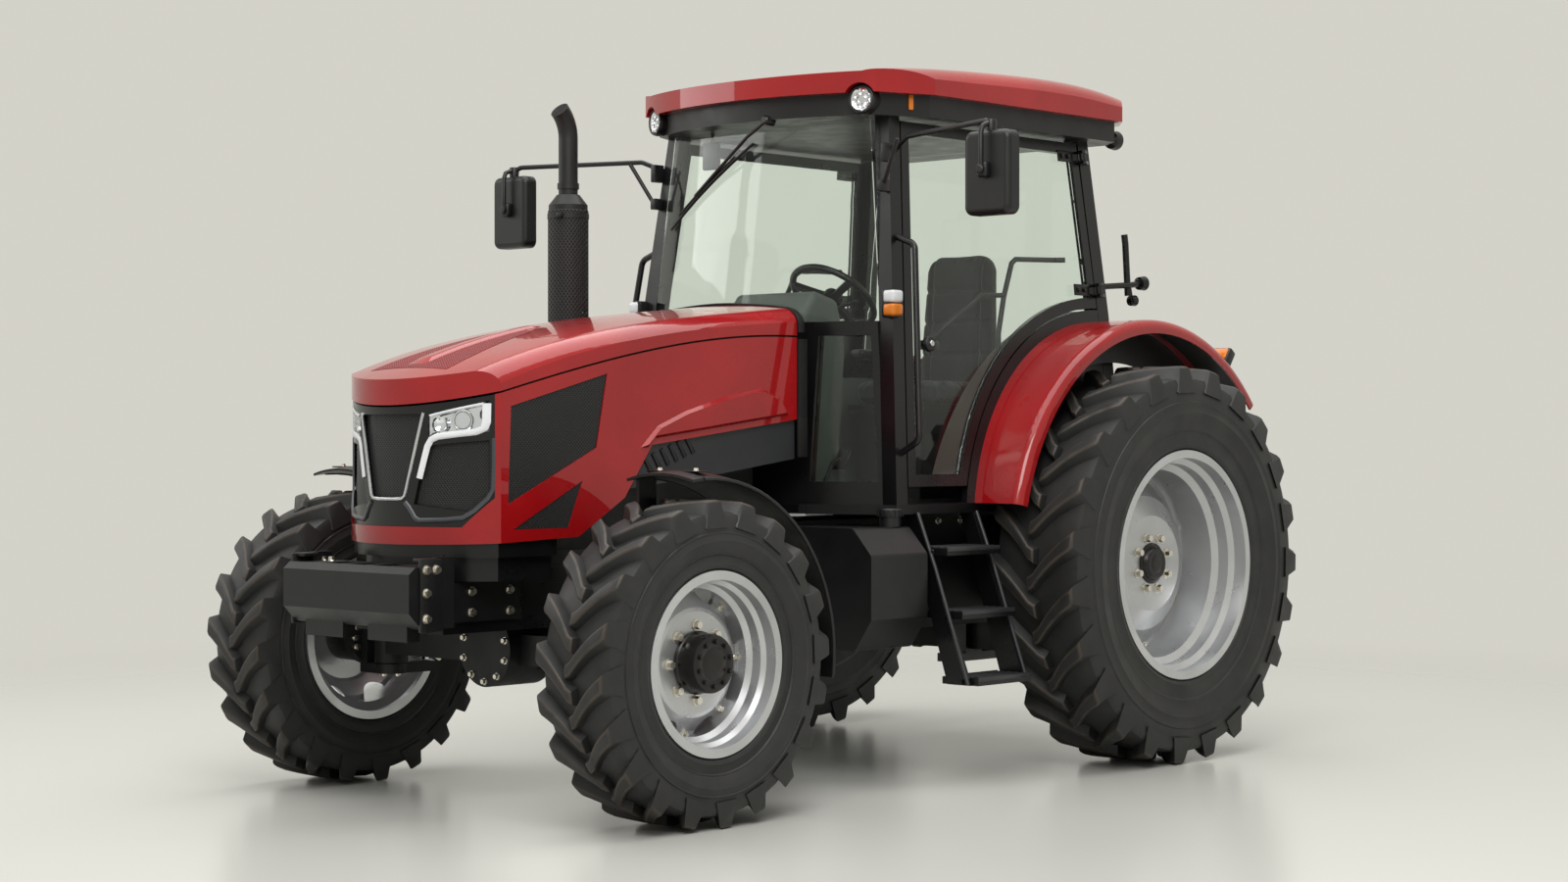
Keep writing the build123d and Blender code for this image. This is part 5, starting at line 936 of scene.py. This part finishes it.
for side in (1, -1):
    turned(collars, [(-0.030, 0.0115), (-0.030, 0.0200), (0.020, 0.0240), (0.030, 0.0200), (0.030, 0.0115)],
           (side * MIRROR_X, -0.372, 2.672), (0, 0, 1), 24)
    add_block(collars, (side * 0.690, -0.150, 2.640), (0.030, 0.060, 0.080), 0.005)
    drop = [(-0.380, 2.690), (-0.425, 2.672), (-0.436, 2.645), (-0.436, 2.515)]
    add_tube(collars, [(side * MIRROR_X, y, z) for y, z in drop], 0.0105)
    add_block(collars, (side * MIRROR_X, -0.420, 2.500), (0.050, 0.034, 0.064), 0.012, None, 3)
    cap = [(0.0, 0.018), (0.010, 0.018), (0.014, 0.012), (0.014, 0.0)]
    turned(collars, cap, (side * MIRROR_X, -0.436, 2.500), (0, -1, 0), 20)
    brace = [(0.675, -0.160, 2.500), (0.700, -0.178, 2.520), (0.800, -0.215, 2.685)]
    add_tube(collars, [(side * x, y, z) for x, y, z in brace], 0.0095)
    add_block(collars, (side * 0.680, -0.165, 2.500), (0.034, 0.050, 0.050), 0.005)
piece(collars, "mirror_collars", black_plastic)

# Dash, column, side console and wheel-house trims: grain-moulded grey-green plastic over a steel frame.
# The instrument panel carries plain blank dials, the console a row of levers with moulded knobs.
console_grey = coated("console_plastic", (0.105, 0.118, 0.108), 0.55, 500.0, 0.0012)
dress(console_grey, "cab_consoles")
trims = bmesh.new()
for side in (1, -1):
    rows = []
    for step in range(33):
        angle = 17.0 + 73.2 * step / 32
        door_x = side_x(on_arc(0, 1.098, angle)[2]) - 0.034
        outline = ((door_x, 1.098), (0.640, 1.098), (0.612, 1.092), (0.598, 1.078), (0.594, 1.036))
        rows.append([trims.verts.new(on_arc(side * x, radius, angle)) for x, radius in outline])
    for row, following in zip(rows, rows[1:]):
        for index in range(4):
            trims.faces.new((row[index], row[index + 1], following[index + 1], following[index]))
thicken(trims, 0.003)
piece(trims, "wheel_house_trims", console_grey)
panel = bmesh.new()
dials = bmesh.new()
to_driver = Vector((0, 0.9615, 0.2747))
add_block(panel, (0, 0.074, 1.972), (0.360, 0.016, 0.120), 0.006, facing(to_driver) @ Matrix.Rotation(pi / 2, 4, "X"))
for x, size in ((-0.100, 0.044), (0.0, 0.050), (0.100, 0.044)):
    spot = Vector((x, 0.074, 1.972)) + to_driver * 0.008
    dial = [(0.0, size), (0.006, size), (0.007, size - 0.005), (0.002, size - 0.007), (0.002, 0.0)]
    turned(dials, dial, spot, to_driver, 32)
piece(panel, "dash_panel", black_plastic)
piece(dials, "dash_dials", coated("dial_face", (0.020, 0.021, 0.022), 0.28, 80.0, 0.0002))
levers = bmesh.new()
knobs = bmesh.new()
for x, y, lean in (
    (-0.370, 0.560, -0.10), (-0.430, 0.590, -0.05), (-0.490, 0.560, -0.10), (-0.400, 0.700, 0.05),
    (-0.460, 0.700, 0.05),
):
    add_tube(levers, [(x, y, 1.715), (x, y + lean * 0.4, 1.760), (x, y + lean, 1.830)], 0.0065)
    turned(knobs, [(-0.022, 0.007), (-0.016, 0.013), (0.006, 0.020), (0.020, 0.019), (0.028, 0.011), (0.029, 0.0)],
           (x, y + lean, 1.835), (0, lean, 0.14), 20)
piece(levers, "console_levers", satin_chrome)
piece(knobs, "console_knobs", black_plastic)
stalks = bmesh.new()
pedals = bmesh.new()
for side in (1, -1):
    add_tube(stalks, [(side * 0.030, 0.235, 2.010), (side * 0.110, 0.240, 2.030), (side * 0.175, 0.250, 2.045)], 0.008)
    arm = [(-0.160, 1.165), (-0.060, 1.330), (-0.010, 1.350)]
    add_tube(pedals, [(side * 0.300, y, z) for y, z in arm], 0.010)
    add_block(pedals, (side * 0.300, 0.005, 1.345), (0.075, 0.016, 0.105), 0.005, Matrix.Rotation(radians(-35), 4, "X"))
piece(stalks, "column_stalks", black_plastic)
piece(pedals, "pedals", black_plastic)
armrest = bmesh.new()
add_block(armrest, (-0.320, 0.960, 1.830), (0.080, 0.340, 0.050), 0.020, None, 4)
add_block(armrest, (-0.330, 1.060, 1.760), (0.040, 0.060, 0.110), 0.008)
piece(armrest, "armrest", black_plastic)

# Inside mirror: a moulded black shell.
# It hangs on a short stem screwed under the headliner.
inside_mirror = bmesh.new()
add_block(inside_mirror, (-0.372, -0.120, 2.700), (0.100, 0.024, 0.125), 0.010, None, 3)
add_tube(inside_mirror, [(-0.372, -0.118, 2.740), (-0.372, -0.110, 2.805)], 0.008)
piece(inside_mirror, "inside_mirror", black_plastic)

# Steering wheel: soft black moulding over a steel ring.
# A dished boss covers the nut that holds it to the shaft.
dress(black_plastic, "steering_wheel")
boss = bmesh.new()
wheel_up = Vector((0, sin(radians(40)), cos(radians(40))))
dish = [(0.0, 0.0480), (0.010, 0.0470), (0.020, 0.0400), (0.024, 0.0260), (0.025, 0.0)]
turned(boss, dish, (0, 0.280, 2.070), wheel_up, 32)
piece(boss, "steering_boss", black_plastic, "hand_wheel")

# Seat: a sprung base with a cushion and a high back in charcoal cloth, welted and quilted into channels.
# Each pad is a foam block under a sewn cover, swollen by cloth pressure and pulled in at the seams.
dress(black_plastic, "seat_base")
seat_cloth = coated("seat_cloth", (0.022, 0.0225, 0.024), 0.85, 700.0, 0.0020)
seat_cloth.node_tree.nodes["Principled BSDF"].inputs["Sheen Weight"].default_value = 0.25
SEAM_DEPTH = 0.011
SEAM_WIDTH = 0.009
SWELL_FRAMES = 20


def pad(name, size, taper, centre, lean, channels, swell):
    """A padded form: a rounded block, swollen as cloth, then drawn in along its channels."""
    shape = bmesh.new()
    bmesh.ops.create_cube(shape, size=1.0, matrix=Matrix.Diagonal((*size, 1)))
    corners = [edge for edge in shape.edges if abs(edge.verts[0].co.z - edge.verts[1].co.z) > 0.01]
    for edge in corners:
        for vert in edge.verts:
            if vert.co.y > 0:
                vert.co.x *= taper
    round_edges(shape, corners, 0.085, 8)
    rims = [edge for edge in shape.edges if abs(edge.verts[0].co.z - edge.verts[1].co.z) < 0.001]
    round_edges(shape, rims, 0.026, 4)
    mesh = bpy.data.meshes.new(name)
    shape.to_mesh(mesh)
    shape.free()
    made = bpy.data.objects.new(name, mesh)
    bpy.context.scene.collection.objects.link(made)
    remesh = made.modifiers.new("even", "REMESH")
    remesh.mode = "VOXEL"
    remesh.voxel_size = 0.006
    bpy.context.view_layer.update()
    even = bpy.data.meshes.new_from_object(made.evaluated_get(bpy.context.evaluated_depsgraph_get()))
    made.modifiers.clear()
    made.data = even
    bpy.data.meshes.remove(mesh)
    start = [vert.co.copy() for vert in even.vertices]
    cloth = made.modifiers.new("swell", "CLOTH")
    cloth.settings.use_pressure = True
    cloth.settings.uniform_pressure_force = 4.0
    cloth.settings.effector_weights.gravity = 0.0
    for step in range(1, SWELL_FRAMES + 1):
        bpy.context.scene.frame_set(step)
    blown = bpy.data.meshes.new_from_object(made.evaluated_get(bpy.context.evaluated_depsgraph_get()))
    made.modifiers.clear()
    bpy.context.scene.frame_set(1)
    for vert, was in zip(blown.vertices, start):
        move = vert.co - was
        if move.length > swell:
            vert.co = was + move.normalized() * swell
    made.data = blown
    bpy.data.meshes.remove(even)
    turn = Matrix.Translation(centre) @ Matrix.Rotation(lean, 4, "X")
    for vert in made.data.vertices:
        pull = 0.0
        for axis, place in channels:
            pull += SEAM_DEPTH * exp(-(((vert.co[axis] - place) / SEAM_WIDTH) ** 2))
        if vert.co.z > 0:
            vert.co.z -= pull
        vert.co = turn @ vert.co
    made.data.materials.clear()
    made.data.materials.append(seat_cloth)
    made.data.shade_smooth()
    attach(made, "chassis")
    return made


cushion = pad("seat_cushion", (0.470, 0.450, 0.085), 0.94, (0, 0.870, 1.645), 0.0,
              [(0, -0.150), (0, 0.150), (1, -0.060), (1, 0.060)], 0.012)
backrest = pad("seat_back", (0.460, 0.690, 0.074), 0.86, (0, 1.180, 1.960), radians(90 - 3.4),
               [(0, -0.145), (0, 0.145), (1, 0.170), (1, 0.020), (1, -0.130)], 0.010)
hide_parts("seat_pads")
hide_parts("seat_pads")

# Hitch: forged lower links, cast lift arms, adjustable lift rods and a turnbuckle top link on the rear housing.
# Black paint on the forgings and rods, zinc on the screwed top link and on the pins.
dress(black_paint, "lower_links", "lift_arms", "lift_rods", "drawbar")
dress(zinc, "top_link")
pins = bmesh.new()
for side in (1, -1):
    turned(pins, [(-0.010, 0.0), (-0.010, 0.022), (0.0, 0.024), (0.006, 0.022), (0.006, 0.0)],
           (side * 0.4305, 1.830, 1.160), (side, 0, 0), 24)
piece(pins, "lift_rod_pins", zinc, "rods")
sleeves = bmesh.new()
along = Vector((0, 0.655, -0.070)).normalized()
middle = Vector((0, 1.9225, 0.895))
sleeve = [
    (-0.150, 0.0245), (-0.150, 0.0330), (-0.140, 0.0345), (0.140, 0.0345), (0.150, 0.0330), (0.150, 0.0245)
]
turned(sleeves, sleeve, middle, along, 28)
piece(sleeves, "top_link_sleeve", zinc)
splines = bmesh.new()
for step in range(6):
    turn = radians(60 * step)
    add_block(splines, (0.0175 * cos(turn), 1.735, 0.640 + 0.0175 * sin(turn)), (0.006, 0.060, 0.007), 0.0015,
              Matrix.Rotation(-turn, 4, "Y"))
piece(splines, "shaft_splines", satin_chrome)

# Studio: a plain pale floor that fades into a backdrop of its own colour, soft lamps, and the camera where the
# photograph was taken. Glass and metal see the backdrop; the light itself comes from the lamps and a soft sky.
scene = bpy.context.scene
BACKDROP = (0.655, 0.645, 0.585)
floor_shape = bmesh.new()
bmesh.ops.create_circle(floor_shape, cap_ends=True, segments=96, radius=14.0)
floor_mesh = bpy.data.meshes.new("floor")
floor_shape.to_mesh(floor_mesh)
floor_shape.free()
floor = bpy.data.objects.new("floor", floor_mesh)
scene.collection.objects.link(floor)
floor_paint, shader = new_finish("floor_paint", BACKDROP, 0.24)
tones = [(0.3, (0.620, 0.612, 0.560)), (0.7, (0.640, 0.632, 0.580))]
vary(floor_paint, add_noise(floor_paint, 0.35), "Base Color", tones)
tree = floor_paint.node_tree
coords = add_node(tree, "ShaderNodeTexCoord")
distance = add_node(tree, "ShaderNodeVectorMath", {0: coords.outputs["Object"]}, operation="LENGTH")
fade = add_node(
    tree, "ShaderNodeMapRange", {"Value": distance.outputs["Value"], "From Min": 3.6, "From Max": 8.5},
    interpolation_type="SMOOTHSTEP",
)
clear = add_node(tree, "ShaderNodeBsdfTransparent")
blend = add_node(
    tree, "ShaderNodeMixShader",
    {"Fac": fade.outputs["Result"], 1: shader.outputs["BSDF"], 2: clear.outputs["BSDF"]},
)
tree.links.new(blend.outputs["Shader"], tree.nodes["Material Output"].inputs["Surface"])
floor_mesh.materials.append(floor_paint)

world = bpy.data.worlds.new("studio")
world.use_nodes = True
scene.world = world
tree = world.node_tree
sky = tree.nodes["Background"]
sky.inputs["Color"].default_value = (0.90, 0.91, 0.90, 1)
sky.inputs["Strength"].default_value = 0.38
backdrop = add_node(tree, "ShaderNodeBackground", {"Color": (*BACKDROP, 1)})
rays = add_node(tree, "ShaderNodeLightPath").outputs
seen = add_node(tree, "ShaderNodeMath", {0: rays["Is Camera Ray"], 1: rays["Is Glossy Ray"]}, operation="MAXIMUM")
shown = add_node(
    tree, "ShaderNodeMath", {0: seen.outputs["Value"], 1: rays["Is Transmission Ray"]}, operation="MAXIMUM"
)
choice = add_node(
    tree, "ShaderNodeMixShader",
    {"Fac": shown.outputs["Value"], 1: sky.outputs["Background"], 2: backdrop.outputs["Background"]},
)
tree.links.new(choice.outputs["Shader"], tree.nodes["World Output"].inputs["Surface"])


def add_lamp(name, place, aim, size, power):
    """A soft box over the floor."""
    lamp = bpy.data.lights.new(name, "AREA")
    lamp.shape = "RECTANGLE"
    lamp.size = size[0]
    lamp.size_y = size[1]
    lamp.energy = power
    holder = bpy.data.objects.new(name, lamp)
    holder.location = place
    holder.rotation_euler = (Vector(aim) - Vector(place)).to_track_quat("-Z", "Y").to_euler()
    scene.collection.objects.link(holder)


add_lamp("key", (5.5, -6.0, 7.0), (0, -0.5, 1.2), (5, 4), 430)
add_lamp("fill", (-7.0, -5.0, 5.5), (0, -0.5, 1.2), (5, 4), 150)
add_lamp("top", (0.5, 0.0, 9.0), (0, 0, 1.5), (11, 11), 860)

camera_data = bpy.data.cameras.new("camera")
camera_data.lens = 61.56
camera_data.sensor_width = 36.0
camera = bpy.data.objects.new("camera", camera_data)
camera.location = (8.041, -8.723, 1.455)
camera.rotation_euler = (Vector((0, -0.046, 1.424)) - camera.location).to_track_quat("-Z", "Y").to_euler()
scene.collection.objects.link(camera)
scene.camera = camera
scene.view_settings.view_transform = "Standard"
